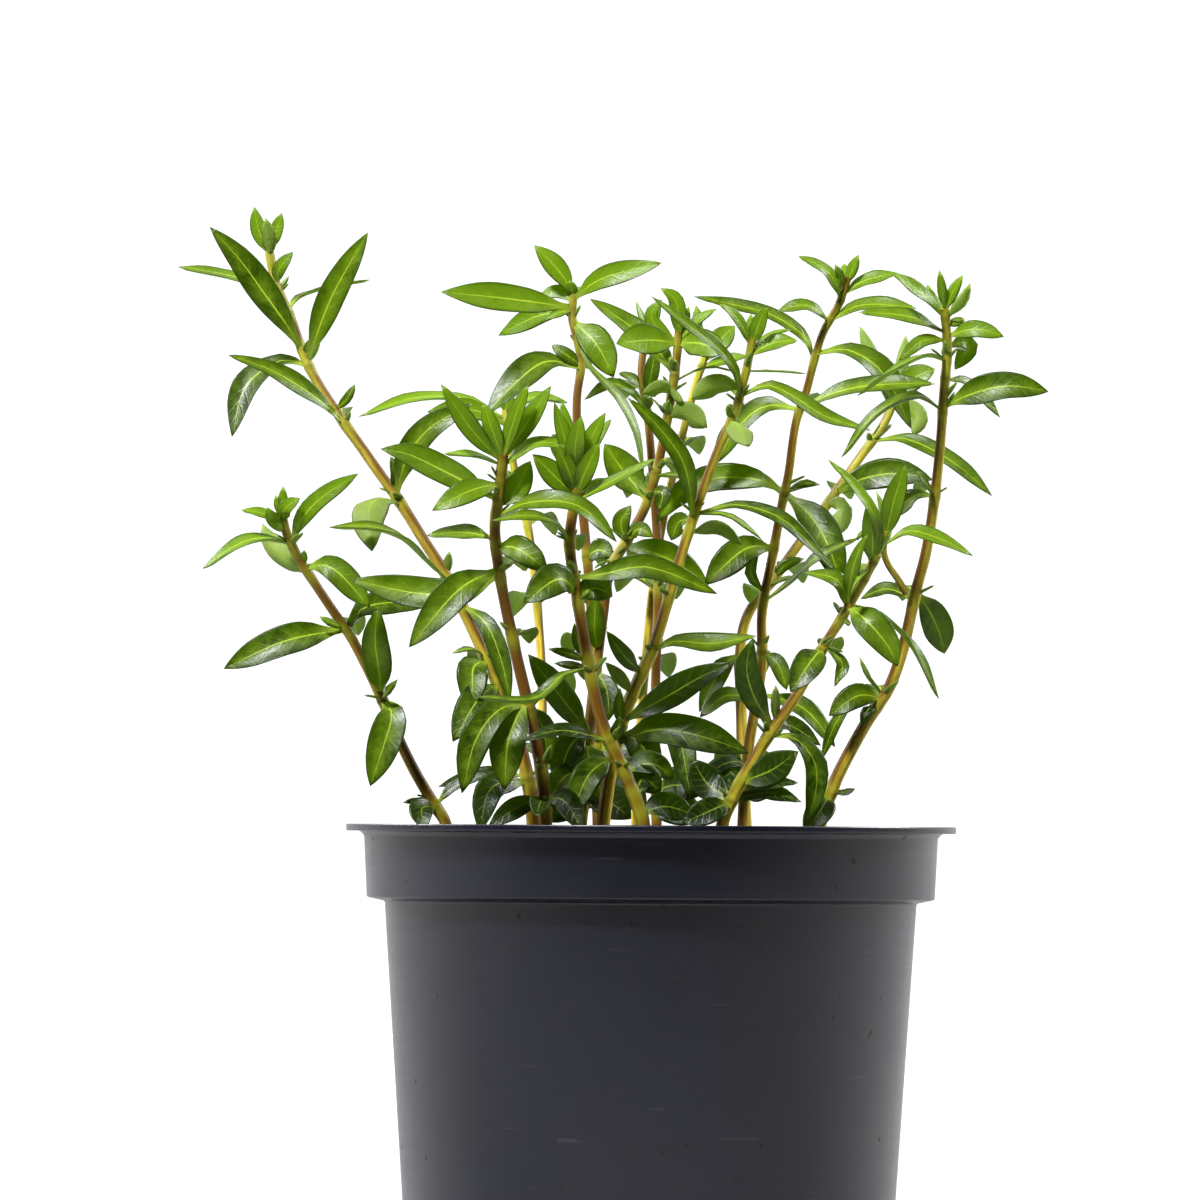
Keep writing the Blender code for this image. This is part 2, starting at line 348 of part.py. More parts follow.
        (48.6, 1.3, FRONT, [(3.0, 3.2, 50.6), (3.5, 3.0, 52.0)]),
        (48.4, 1.3, FRONT, [(4.3, 3.8, 50.4), (4.2, 4.2, 52.2)]),
        (48.4, 1.3, HALF, [(4.2, 2.6, 50.4), (6.3, 2.6, 51.8)]),
        (48.2, 3.2, FRONT, [(4.6, 1.4, 48.2), (7.2, -0.2, 47.2)]),
        (43.4, 1.9, BACK, [(0.6, 0.4, 43.6), (-1.2, -0.4, 43.2)]),
        (43.2, 1.4, BACK, [(2.2, 0.6, 42.8), (3.0, 0.2, 42.3)]),
        (40.8, 2.6, BACK, [(3.2, 0.6, 41.2), (5.4, -0.2, 39.8)]),
        (44.2, 1.0, UP, [(3.8, 3.0, 45.4), (6.0, 2.0, 45.9), (8.4, 0.8, 45.3)]),
        (35.4, 1.2, UP, [(1.6, 1.4, 36.4), (2.2, 1.2, 35.8)]),
        (35.2, 1.4, TILT, [(1.6, 0.6, 35.0), (4.6, -0.4, 34.8)]),
        (33.4, 1.6, FRONT, [(0.9, 0.8, 33.2), (0.6, 0.4, 31.4)]),
        (27.7, 3.2, FRONT, [(-0.4, 3.4, 27.4), (2.5, 4.4, 26.2), (5.7, 5, 23.9)]),
        (28.2, 1.8, FRONT, [(-3.2, 0.9, 30.2), (-2.2, 0.9, 32.0)]),
        (28.6, 1.6, FRONT, [(-1.4, 0.4, 29.6), (0.0, 0, 28.8)]),
        (26.4, 1.0, UP, [(-5.0, 0.6, 26.2), (-5.9, 0.4, 25.6)]),
        (9.5, 3.0, FRONT, [(-9.2, -3.6, 12.8), (-12.4, -5.6, 17.0)]),
        (17.0, 2.2, FRONT, [(-5.8, -1.6, 19.6), (-5.6, -2.6, 23.0)]),
        (15.6, 2.4, FRONT, [(-4.5, -1.6, 13.4), (-4.3, -2.6, 10.4)]),
        (9.0, 3.2, FRONT, [(-8.0, -2.2, 8.0), (-9.4, -2.6, 4.2)]),
        (8.6, 3.4, FRONT, [(-6.2, -3.0, 6.4), (-4.6, -3.4, 2.2)]),
        (6.0, 2.8, FRONT, [(-8.8, -3.6, 4.6), (-10.8, -5, 0.9)]),
        (35.4, 2.2, UP, [(1.4, 5.6, 36.8), (2.2, 9.4, 35.4)]),
    ],
    "stem_back_yellow": [
        (47.0, 2.4, FRONT, [(6.8, 25.4, 49.3), (8.3, 26, 50.9)]),
        (46.6, 1.6, HALF, [(8.0, 24.8, 47.4), (9.6, 24.4, 47.8)]),
        (47.4, 1.2, FRONT, [(4.6, 24.4, 50.0), (4.5, 24.6, 52.2)]),
        (47.4, 1.6, UP, [(4.8, 27.4, 49.6), (4.4, 29.6, 49.4)]),
        (38.0, 2.6, UP, [(3.8, 26.6, 39.4), (4.8, 30, 37.8)]),
        (27.0, 2.8, UP, [(-0.8, 25.6, 28.2), (-2.0, 29.2, 26.4)]),
        (16.0, 2.8, UP, [(0.8, 24.4, 17.2), (1.8, 28.2, 15.0)]),
        (6.0, 2.6, UP, [(-2.6, 23.2, 7.0), (-4.0, 26, 4.4)]),
    ],
    "stem_centre_leaning": [
        (47.6, 1.4, HALF, [(8.2, -3.4, 50.4), (6.4, -3.8, 52.0)]),
        (47.8, 1.2, FRONT, [(9.6, -1.6, 51.0)]),
        (47.8, 1.6, FRONT, [(10.6, -3.2, 50.4), (11.3, -3.6, 51.6)]),
        (46.8, 2.2, HALF, [(12.0, -3.2, 48.0), (14.3, -3.4, 48.3)]),
        (47.4, 1.0, TILT, [(11.8, -1.4, 49.0), (13.8, -1.0, 49.5)]),
        (45.4, 1.2, UP, [(12.4, -3.6, 45.2), (15.3, -4.6, 45.0)]),
        (43.6, 2.4, BACK, [(6.2, -3.8, 43.8), (3.7, -4.4, 42.4)]),
        (40.3, 2.6, BACK, [(8.4, -6.2, 39.6), (9.4, -9, 37.6)]),
        (31.0, 0.9, HALF, [(7.2, -3.4, 31.0), (9.0, -3.0, 30.0), (11.0, -2.8, 28.4)]),
        (29.4, 1.6, BACK, [(6.6, -2.6, 29.6), (8.9, -2.2, 28.0)]),
        (30.6, 2.0, FRONT, [(2.6, -3.4, 30.2), (1.8, -3.2, 28.4)]),
        (17.0, 2.6, HALF, [(2.0, -6.8, 18.2), (6.0, -7.2, 18.0), (10.4, -7.4, 18.9)]),
        (15.2, 1.8, FRONT, [(-3.0, -8.4, 17.0), (-4.6, -9.2, 19.3)]),
        (13.2, 1.4, BACK, [(-3.4, -8.0, 14.8), (-4.7, -8.4, 16.2)]),
        (9.8, 1.2, FRONT, [(-3.3, -8.6, 11.8), (-3.2, -8.8, 13.7)]),
        (7.0, 3.2, FRONT, [(-1.8, -8.4, 6.4), (0.4, -9.0, 3.4)]),
        (6.6, 3.0, FRONT, [(-6.2, -9.4, 5.0), (-8.0, -10.6, 0.9)]),
        (22.8, 2.2, UP, [(2.0, -2.6, 23.8), (2.4, 0.6, 22.6)]),
        (42.6, 2.2, UP, [(7.8, 0.4, 44.2), (6.8, 3.6, 44.4)]),
        (12.8, 2.4, UP, [(-1.8, -2.6, 14.0), (-1.2, 0.8, 12.6)]),
    ],
    "stem_right_tall": [
        (3.0, 2.6, FRONT, [(11.0, 2.6, 3.6), (13.2, 2.0, 3.9)]),
        (5.0, 2.4, FRONT, [(7.4, 2.6, 5.8), (5.0, 2.2, 5.0)]),
        (52.6, 1.6, HALF, [(18.2, 1.2, 54.0), (17.2, 1.0, 55.4), (14.3, 0.6, 57.0)]),
        (53.8, 0.9, FRONT, [(18.4, 1.2, 55.4), (18.0, 0.8, 56.2)]),
        (54.0, 1.2, FRONT, [(20.4, 2.2, 57.2)]),
        (53.2, 1.8, HALF, [(20.8, 2.2, 54.4), (24.4, 2.4, 55.4)]),
        (54.0, 1.0, UP, [(19.0, 4.2, 56.4)]),
        (50.4, 2.2, HALF, [(20.6, 1.4, 52.0), (26.3, 0.2, 51.8)]),
        (50.6, 1.8, HALF, [(16.4, 1.6, 51.4), (15.0, 1.2, 52.0), (12.2, 1.0, 51.4)]),
        (33.4, 3.0, FRONT, [(11.4, 5.0, 34.4), (8.6, 6.2, 34.9), (4.2, 7.0, 34.2), (0.3, 7.0, 30.3)]),
        (33.2, 1.2, HALF, [(15.2, 3.2, 34.2), (16.8, 3.6, 34.2)]),
        (34.0, 0.9, UP, [(15.3, 2.2, 35.1)]),
        (27.9, 3.2, FRONT, [(9.6, 1.6, 27.8), (7.2, 0.4, 26.0), (5.2, -0.2, 24.0)]),
        (23.4, 1.2, FRONT, [(9.8, 2.8, 25.2), (10.6, 2.2, 27.9)]),
        (22.6, 1.8, HALF, [(14.0, 0.2, 24.9), (16.5, -3.8, 27.3), (20.8, -4.6, 28.9)]),
        (24.0, 0.9, TILT, [(13.2, 3.4, 24.7), (14.8, 3.0, 25.0)]),
        (13.6, 2.4, HALF, [(15.2, 2.4, 11.7), (18.4, 1.4, 7.9)]),
        (17.4, 1.8, FRONT, [(12.6, 2.4, 16.2), (13.5, 1.8, 13.6)]),
        (12.6, 2.2, HALF, [(7.4, 2.2, 12.9), (4.8, 0.8, 10.8)]),
        (6.4, 2.0, HALF, [(7.6, 1.6, 6.2), (4.8, 0.4, 4.6)]),
        (41.8, 2.2, UP, [(15.4, 5.8, 43.2), (16.2, 9.2, 42.2)]),
        (23.0, 2.4, UP, [(10.4, 6.6, 24.0), (9.8, 9.6, 22.4)]),
        (6.0, 2.4, UP, [(10.6, 7, 7.2), (11.6, 10, 5.2)]),
    ],
    "stem_back_right": [
        (44.0, 1.6, BACK, [(22.6, 16.2, 46.6), (20.9, 16.6, 50.8)]),
        (44.2, 1.4, BACK, [(25.4, 16.2, 47.6), (25.6, 16.2, 49.9)]),
        (43.8, 2.6, FRONT, [(26.4, 15.6, 45.4), (28.6, 15.2, 46.4)]),
        (42.6, 2.0, BACK, [(25.6, 15.2, 42.6), (26.9, 14.6, 41.2), (26.3, 14.2, 39.5)]),
        (44.0, 1.6, UP, [(24.8, 18.6, 46.4), (25.2, 20.4, 45.8)]),
        (33.8, 3.2, FRONT, [(21.0, 12.4, 35.0), (24.6, 11.4, 35.6), (28.3, 10.6, 35.0)]),
        (32.8, 2.4, BACK, [(18.8, 13.4, 31.8), (18.9, 12.8, 30.6), (18.4, 12.4, 29.3)]),
        (38.8, 1.4, UP, [(24.2, 16.4, 40.8)]),
        (33.6, 2.6, UP, [(19.0, 18, 34.6), (20.2, 22, 33.2)]),
        (24.8, 1.2, FRONT, [(13.6, 12.0, 26.4), (15.4, 11.6, 27.0)]),
        (25.2, 2.6, UP, [(14.2, 17.2, 26.4), (15.4, 21.2, 24.6)]),
        (17.0, 2.2, FRONT, [(7.2, 11.8, 16.0), (4.8, 10.4, 11.4)]),
        (16.0, 2.8, UP, [(10.4, 17, 17.4), (11.4, 21, 15.2)]),
        (6.4, 2.6, UP, [(8.0, 16.4, 7.6), (7.0, 20, 5.2)]),
        (7.0, 3.2, FRONT, [(9.2, 10.6, 6.6), (11.4, 9.6, 3.6)]),
    ],
    "stem_right": [
        (50.6, 1.9, HALF, [(27.0, -7.4, 52.4), (23.4, -8, 55.0)]),
        (51.0, 1.2, FRONT, [(27.4, -5.6, 52.6), (27.1, -5.4, 53.9)]),
        (51.2, 1.0, FRONT, [(28.2, -7.2, 55.3)]),
        (51.0, 1.2, FRONT, [(29.7, -6.6, 53.3), (30.6, -6.4, 54.8)]),
        (50.6, 1.2, BACK, [(30.6, -7.4, 52.3), (31.3, -7.6, 54.0)]),
        (49.6, 1.0, FRONT, [(30.9, -6.0, 50.5)]),
        (49.2, 2.0, HALF, [(25.4, -7.4, 50.5), (20.2, -8.2, 51.0)]),
        (48.8, 1.9, FRONT, [(31.8, -7.2, 49.4), (34.7, -7.6, 48.7)]),
        (47.8, 2.0, FRONT, [(30.9, -5.0, 48.2), (31.2, -4.4, 47.6), (29.9, -4, 45.5)]),
        (48.4, 1.4, FRONT, [(26.6, -7.8, 48.2), (24.2, -8.6, 46.2)]),
        (46.4, 2.0, UP, [(27.2, -8.2, 46.8), (24.4, -10.4, 45.6), (20.0, -11.2, 42.6)]),
        (44.6, 1.6, HALF, [(31.0, -4.6, 44.3), (32.6, -4, 42.9), (34.5, -3.4, 40.8)]),
        (42.0, 0.9, UP, [(30.2, -6.6, 44.4)]),
        (32.8, 2.4, HALF, [(26.2, -5, 32.9), (24.4, -4.8, 31.6), (22.2, -4.6, 29.8)]),
        (32.8, 1.4, HALF, [(26.8, -7.4, 34.4), (26.2, -8.0, 35.4)]),
        (22.6, 1.9, HALF, [(23.4, -3.4, 23.6), (20.7, -2.6, 22.7)]),
        (23.0, 0.9, UP, [(28.1, -5.6, 24.1)]),
        (13.0, 1.0, UP, [(21.4, -4.8, 15.0), (20.6, -5.2, 17.0)]),
        (12.8, 1.2, UP, [(24.6, -5.6, 14.6)]),
        (12.8, 2.6, FRONT, [(20.6, -5.2, 13.0), (17.6, -6.4, 11.0)]),
        (12.0, 1.2, HALF, [(21.4, -5.6, 11.4), (20.9, -6.0, 9.9)]),
        (12.2, 1.4, HALF, [(20.4, -3, 12.6), (18.6, -2.6, 10.6), (16.9, -2.2, 6.5)]),
        (3.4, 1.0, HALF, [(19.3, -3.6, 3.3), (20.4, -3.8, 3.8)]),
        (3.2, 2.8, FRONT, [(16.9, -5.4, 1.6), (15.2, -6.6, -0.8)]),
        (33.0, 2.4, UP, [(27.4, -2.6, 34.0), (26.4, 1.2, 33.2)]),
        (12.8, 2.6, UP, [(22.6, -0.6, 14.0), (21.8, 2.8, 12.4)]),
        (22.8, 2.4, UP, [(25.4, -1.0, 24.0), (25.0, 3.0, 22.6)]),
    ],
    "stem_right_side_shoot": [
        (28.2, 2.2, FRONT, [(23.8, -9.6, 32.0), (25.0, -10.4, 36.0)]),
        (28.6, 1.2, UP, [(22.4, -8.6, 32.4), (22.1, -8.6, 33.4)]),
        (28.0, 1.9, HALF, [(25.4, -9.8, 29.3), (28.2, -10.3, 28.6), (31.8, -10.6, 26.9)]),
        (28.0, 1.6, UP, [(21.2, -9, 29.2), (20.0, -9.4, 28.4)]),
    ],
    "stem_front_right": [
        (3.4, 1.9, HALF, [(11.6, -12.0, 4.1), (14.6, -12.4, 4.3)]),
        (25.8, 1.2, UP, [(20.4, -18, 24.6), (19.4, -18.6, 22.6)]),
        (21.6, 2.0, HALF, [(18.2, -16.6, 24.2), (14.9, -16, 25.1)]),
        (20.6, 0.9, UP, [(19.4, -16.6, 19.8)]),
        (17.8, 1.4, TILT, [(18.8, -16, 15.8), (18.0, -16.6, 13.8)]),
        (18.0, 0.9, UP, [(18.9, -15.8, 17.2)]),
        (25.8, 2.2, FRONT, [(22.4, -16.6, 29.0), (21.4, -16.2, 31.8)]),
        (21.6, 1.6, HALF, [(19.6, -17.2, 24.6), (20.2, -17.8, 26.8), (21.2, -18.4, 29.0)]),
        (23.7, 1.4, BACK, [(19.4, -15.0, 24.6)]),
        (9.6, 2.7, FRONT, [(10.1, -15.6, 12.6), (9.3, -16.4, 15.6), (9.9, -17, 18.6)]),
        (10.0, 1.0, UP, [(12.2, -15.6, 14.0)]),
        (8.8, 2.2, HALF, [(13.6, -14.2, 8.6), (15.6, -14.4, 6.2), (15.9, -14.6, 3.0), (15.2, -14.6, 0.2)]),
        (4.4, 3.4, FRONT, [(11.9, -16, 5.5), (14.5, -17.4, 7.4)]),
        (9.4, 2.2, FRONT, [(13.6, -9.6, 10.0), (16.8, -9.8, 8.0)]),
        (2.4, 2.2, HALF, [(11.2, -12, 3.2), (14.9, -12.6, 2.4)]),
        (2.4, 2.8, FRONT, [(6.2, -15.4, 1.6), (3.0, -16.4, 0.2)]),
        (3.6, 3.0, FRONT, [(8.2, -10.6, 4.0), (10.6, -9.8, 2.8)]),
        (2.6, 3.4, FRONT, [(5.6, -12.0, 4.0), (4.0, -11.6, 6.6)]),
        (26.2, 1.2, UP, [(23.6, -17.2, 29.2)]),
        (26.2, 1.2, UP, [(22.4, -15, 29.4)]),
        (17.4, 2.4, UP, [(17.6, -11.8, 18.4), (18.4, -8.6, 17.0)]),
        (9.2, 2.4, UP, [(12.0, -10.4, 10.4), (12.6, -6.8, 9.0)]),
    ],
}

POT_COLOUR = (0.045, 0.045, 0.055)
WOOL_COLOUR = (0.22, 0.17, 0.09)
STEM_COLOUR = (0.34, 0.19, 0.05)
LEAF_COLOUR = (0.06, 0.16, 0.012)


def clear_scene():
    """Remove what the scene holds."""
    for thing in list(bpy.data.objects):
        bpy.data.objects.remove(thing, do_unlink=True)


def finish(name, colour, roughness):
    """A plain material."""
    made = bpy.data.materials.new(name)
    made.use_nodes = True
    surface = made.node_tree.nodes["Principled BSDF"]
    surface.inputs["Base Color"].default_value = (*colour, 1)
    surface.inputs["Roughness"].default_value = roughness
    surface.inputs["Metallic"].default_value = 0
    made.diffuse_color = (*colour, 1)
    return made


def piece(name, points, faces, material=None):
    """An object of a closed mesh whose faces point outwards. Without a material it is a cutter or a guide."""
    mesh = bpy.data.meshes.new(name)
    mesh.from_pydata([tuple(p) for p in points], [], faces)
    work = bmesh.new()
    work.from_mesh(mesh)
    bmesh.ops.recalc_face_normals(work, faces=work.faces)
    bmesh.ops.triangulate(work, faces=[f for f in work.faces if len(f.verts) > 3])
    work.to_mesh(mesh)
    work.free()
    thing = bpy.data.objects.new(name, mesh)
    bpy.context.scene.collection.objects.link(thing)
    if material is None:
        thing.hide_render = True
        thing.display_type = "WIRE"
    else:
        mesh.materials.append(material)
        mesh.shade_smooth()
        mesh.set_sharp_from_angle(angle=math.radians(40))
    return thing


def combine(thing, other, operation):
    """Fuse another shape to a thing, or cut it out."""
    step = thing.modifiers.new(other.name, "BOOLEAN")
    step.operation = operation
    step.solver = "EXACT"
    step.use_self = True
    step.object = other


def place(point, lean=0):
    """A point of the tables, in metres above the pot's underside, with its stem's lean."""
    x, y, height = point
    back = lean * (max(height, 0) / LEAN_HEIGHT) ** 2
    return Vector((x * MM, (y + back) * MM, POT_HEIGHT + height * MM))


def smooth_curve(points, steps=12):
    """Points along a smooth curve through the given points (centripetal Catmull-Rom)."""
    ends = [2 * points[0] - points[1], *points, 2 * points[-1] - points[-2]]
    curve = []
    for a, b, c, d in zip(ends, ends[1:], ends[2:], ends[3:]):
        t1 = math.sqrt((b - a).length)
        t2 = t1 + math.sqrt((c - b).length)
        t3 = t2 + math.sqrt((d - c).length)
        for i in range(steps):
            t = t1 + (t2 - t1) * i / steps
            ab = a.lerp(b, t / t1)
            bc = b.lerp(c, (t - t1) / (t2 - t1))
            cd = c.lerp(d, (t - t2) / (t3 - t2))
            curve.append(ab.lerp(bc, t / t2).lerp(bc.lerp(cd, (t - t1) / (t3 - t1)), (t - t1) / (t2 - t1)))
    return curve + [points[-1]]


def spread(curve, shares):
    """The points at the given shares of a curve's length, each with the curve's direction there."""
    lengths = [0.0]
    for a, b in zip(curve, curve[1:]):
        lengths.append(lengths[-1] + (b - a).length)
    found = []
    for share in shares:
        goal = share * lengths[-1]
        i = next(n for n in range(1, len(curve)) if lengths[n] >= goal - 1e-9)
        a, b = curve[i - 1], curve[i]
        t = (goal - lengths[i - 1]) / (lengths[i] - lengths[i - 1])
        found.append((a.lerp(b, t), (b - a).normalized()))
    return found


def turned(name, profile, sides, material=None):
    """A closed shape turned round the Z axis. Its profile (radius, height) starts and ends on the axis."""
    points = [Vector((0, 0, profile[0][1])), Vector((0, 0, profile[-1][1]))]
    rings = []
    for radius, height in profile[1:-1]:
        rings.append(range(len(points), len(points) + sides))
        for i in range(sides):
            angle = 2 * math.pi * i / sides
            points.append(Vector((radius * math.cos(angle), radius * math.sin(angle), height)))
    faces = []
    for i in range(sides):
        j = (i + 1) % sides
        faces.append((0, rings[0][j], rings[0][i]))
        for low, high in zip(rings, rings[1:]):
            faces.append((low[i], low[j], high[j], high[i]))
        faces.append((rings[-1][i], rings[-1][j], 1))
    return piece(name, points, faces, material)


def joined(shapes):
    """One list of points and faces from several."""
    points, faces = [], []
    for more_points, more_faces in shapes:
        start = len(points)
        points.extend(more_points)
        faces.extend([tuple(i + start for i in face) for face in more_faces])
    return points, faces


def tube(stations, radii, sides):
    """Points and faces of a closed tube through stations (place, direction)."""
    points, faces = [], []
    for (centre, along), radius in zip(stations, radii):
        across = (Vector((1, 0, 0)) - along * along.x).normalized()
        other = along.cross(across)
        for i in range(sides):
            angle = 2 * math.pi * i / sides
            points.append(centre + radius * (math.cos(angle) * across + math.sin(angle) * other))
    for k in range(len(stations) - 1):
        for i in range(sides):
            j = (i + 1) % sides
            faces.append((k * sides + i, k * sides + j, (k + 1) * sides + j, (k + 1) * sides + i))
    faces.append(tuple(range(sides)))
    faces.append(tuple(range(len(points) - sides, len(points))))
    return points, faces


def stem_curve(path, lean):
    """The smooth curve of a stem, with its straight foot in the wool if it starts at the rim."""
    points = [place(p, lean) for p in path]
    if path[0][2] == 0:
        x, y, _ = path[0]
        points = [place((x, y, -PLANTED_DEPTH)), place((x, y, FOOT_TOP))] + points
    return smooth_curve(points)


def stem_shape(curve, foot_radius, tip_radius):
    """Points and faces of a stem, round and tapering to its tip."""
    length = sum((b - a).length for a, b in zip(curve, curve[1:]))
    count = max(3, round(length / STEM_STEP))
    shares = [i / count for i in range(count + 1)]
    radii = [(foot_radius + (tip_radius - foot_radius) * s) * MM for s in shares]
    return tube(spread(curve, shares), radii, STEM_SIDES)


def midrib(curve, lean, stem_radius, row, apart):
    """The midrib of a leaf, from the stem to its tip. A leaf apart from its stem starts clear of it."""
    height, points = row[0], row[3]
    level = POT_HEIGHT + height * MM
    foot = min(curve, key=lambda p: abs(p.z - level))
    line = smooth_curve([foot] + [place(p, lean) for p in points])
    if not apart:
        return line
    clear = stem_radius + PETIOLE / 2 + 1.5 * GAP
    start = next(i for i, p in enumerate(line) if min((p - q).length for q in curve) > clear)
    return line[start:]


def blade_shape(line, width, face, outline):
    """Points and faces of a lance-shaped leaf, thickest at its midrib, where a broad one is folded up."""
    look = Vector(face)
    points, faces = [], []
    stations = spread(line, [share for share, _ in outline])
    for (centre, along), (share, breadth) in zip(stations, outline):
        if share == 1:
            points.append(centre)
            break
        half = max(PETIOLE, breadth * width * MM) / 2
        up = (look - along * look.dot(along)).normalized()
        side = along.cross(up) * half
        rise = up * (FOLD * half if share else 0)
        thick = up * BLADE_THICKNESS / 2
        points.extend([centre - side + rise, centre - thick, centre + side + rise])
        if outline is BROAD:
            points.append(centre + thick)
    tip = len(points) - 1
    corners = tip // (len(outline) - 1)
    faces.append(tuple(range(corners)))
    for k in range(0, tip - corners, corners):
        for i in range(corners):
            j = (i + 1) % corners
            faces.append((k + i, k + j, k + corners + j, k + corners + i))
    faces.extend([(tip - corners + i, tip - corners + (i + 1) % corners, tip) for i in range(corners)])
    return points, faces


def make_pot(material):
    """The pot: tapered wall, step, collar and flat rim, of an even wall, with a flat underside."""
    collar_foot = POT_HEIGHT - COLLAR_DEPTH
    step_foot = collar_foot - LEDGE_RISE
    flange = POT_HEIGHT - RIM_THICKNESS
    outside = [
        (BASE_RADIUS - FOOT_BEVEL, 0),
        (BASE_RADIUS, FOOT_BEVEL),
        (STEP_RADIUS, step_foot),
        (COLLAR_FOOT_RADIUS, collar_foot),
        (COLLAR_TOP_RADIUS, flange - FILLET),
        (COLLAR_TOP_RADIUS + FILLET, flange),
        (RIM_RADIUS, flange),
        (RIM_RADIUS, POT_HEIGHT),
    ]
    inside = [
        (COLLAR_TOP_RADIUS - WALL, POT_HEIGHT),
        (COLLAR_FOOT_RADIUS - WALL, collar_foot + WALL),
        (STEP_RADIUS - WALL, step_foot + WALL),
        (BASE_RADIUS - WALL, WALL),
    ]
    return turned("pot", [(0, 0), *outside, *inside, (0, WALL)], POT_SIDES, material)


def make_wool(material, feet):
    """The plug of mineral wool, which fills the pot up to the step and has a socket for each stem."""
    step = POT_HEIGHT - COLLAR_DEPTH
    foot_radius = BASE_RADIUS - WALL - WOOL_CLEARANCE
    top_radius = STEP_RADIUS - WALL - WOOL_CLEARANCE
    top = POT_HEIGHT - WOOL_BELOW_RIM
    low = WALL + GAP
    profile = [(0, low), (foot_radius, low), (top_radius, step), (top_radius, top), (0, top)]
    wool = turned("mineral_wool", profile, WOOL_SIDES, material)
    sockets = []
    for x, y, radius in feet:
        floor = place((x, y, -PLANTED_DEPTH)) - Vector((0, 0, GAP))
        mouth = place((x, y, 0))
        up = Vector((0, 0, 1))
        sockets.append(tube([(floor, up), (mouth, up)], [radius * MM + SOCKET_CLEARANCE] * 2, SOCKET_SIDES))
    combine(wool, piece("sockets", *joined(sockets)), "DIFFERENCE")


def make_stem(name, row, material, leaf_material):
    """One stem with its small leaves fused to it, and its broad leaves as pieces of their own."""
    foot_radius, tip_radius, lean, path = row
    curve = stem_curve(path, lean)
    stem = piece(name, *stem_shape(curve, foot_radius, tip_radius), material)
    small = []
    for leaf in YOUNG_LEAVES[name]:
        if leaf[1] < FINEST_WIDTH:
            continue
        outline = SMALL if leaf[1] > BUD_WIDTH else BUD
        small.append(blade_shape(midrib(curve, lean, 0, leaf, False), leaf[1], leaf[2], outline))
    combine(stem, piece(name + "_young_leaves", *joined(small)), "UNION")
    for number, leaf in enumerate(BROAD_LEAVES.get(name, ()), 1):
        line = midrib(curve, lean, foot_radius * MM, leaf, True)
        label = name.replace("stem", "leaf") + f"_{number}"
        piece(label, *blade_shape(line, leaf[1], leaf[2], BROAD), leaf_material)


def build():
    """The whole plant in its pot."""
    clear_scene()
    leaf = finish("leaf", LEAF_COLOUR, 0.42)
    stem = finish("stem", STEM_COLOUR, 0.5)
    make_pot(finish("pot_plastic", POT_COLOUR, 0.35))
    make_wool(finish("mineral_wool", WOOL_COLOUR, 0.95), [(*row[3][0][:2], row[0]) for row in STEMS.values()])
    for name, row in STEMS.items():
        make_stem(name, row, stem, leaf)
    make_stem("stem_right_side_shoot", SIDE_SHOOT, stem, leaf)


build()
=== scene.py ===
# %% [markdown]
# # A potted needle leaf ludwigia
#
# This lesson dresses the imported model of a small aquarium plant. Fourteen leafy stems and a side shoot
# stand in a plug of mineral wool, in a dark plastic pot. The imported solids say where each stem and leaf
# is and how far it reaches. Here they get what the eye looks for: folded blades with a pale midrib, stems
# with swollen joints, and the soft gloss of moulded plastic. Lengths are in metres with Z up, and the
# origin is the middle of the pot's flat underside.

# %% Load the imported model
import math
import random

import bpy
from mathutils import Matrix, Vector


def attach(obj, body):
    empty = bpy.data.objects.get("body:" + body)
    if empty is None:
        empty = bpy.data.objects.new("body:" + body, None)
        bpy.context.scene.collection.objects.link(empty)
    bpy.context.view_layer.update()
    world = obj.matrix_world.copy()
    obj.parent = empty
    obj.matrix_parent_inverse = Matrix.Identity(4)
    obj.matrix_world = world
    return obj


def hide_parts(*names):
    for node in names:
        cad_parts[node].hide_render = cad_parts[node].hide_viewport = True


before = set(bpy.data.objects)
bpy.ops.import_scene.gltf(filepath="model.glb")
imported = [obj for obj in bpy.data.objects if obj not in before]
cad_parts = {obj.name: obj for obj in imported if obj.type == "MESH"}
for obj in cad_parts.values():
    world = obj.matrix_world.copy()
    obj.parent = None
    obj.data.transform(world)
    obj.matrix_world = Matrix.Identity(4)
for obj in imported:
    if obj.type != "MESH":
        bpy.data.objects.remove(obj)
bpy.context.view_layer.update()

print(len(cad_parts), "nodes")

# %% [markdown]
# ## Sizes shared with the solids
#
# The tables of stems and leaves further down are the ones that the solids were made from, so every piece
# here grows exactly where its solid is. A point in them is (x, y, h) in millimetres: x to the right and y
# to the back from the pot's axis, and h above the rim. Each stem also leans to the back or to the front,
# more and more with its height, and the function place adds that.

# %% Sizes and the place of a point
MM = 0.001
POT_HEIGHT = 0.050
RIM_RADIUS = 0.0305
RIM_THICKNESS = 0.0007
COLLAR_TOP_RADIUS = 0.0287
COLLAR_FOOT_RADIUS = 0.0284
COLLAR_DEPTH = 0.0073
FILLET = 0.00045
LEDGE_RISE = 0.0004
STEP_RADIUS = 0.0266
BASE_RADIUS = 0.0239
WALL = 0.0009
WOOL_BELOW_RIM = 0.003
PLANTED_DEPTH = 10
FOOT_TOP = -4
LEAN_HEIGHT = 50
BUD_WIDTH = 1.3
GAP = 0.0003
FOOT_BEVEL = 0.001
WOOL_CLEARANCE = 0.0004


def place(point, lean=0):
    """A point of the tables, in metres above the pot's underside, with its stem's lean."""
    x, y, height = point
    back = lean * (max(height, 0) / LEAN_HEIGHT) ** 2
    return Vector((x * MM, (y + back) * MM, POT_HEIGHT + height * MM))


print("The rim is", 2 * RIM_RADIUS / MM, "mm across")

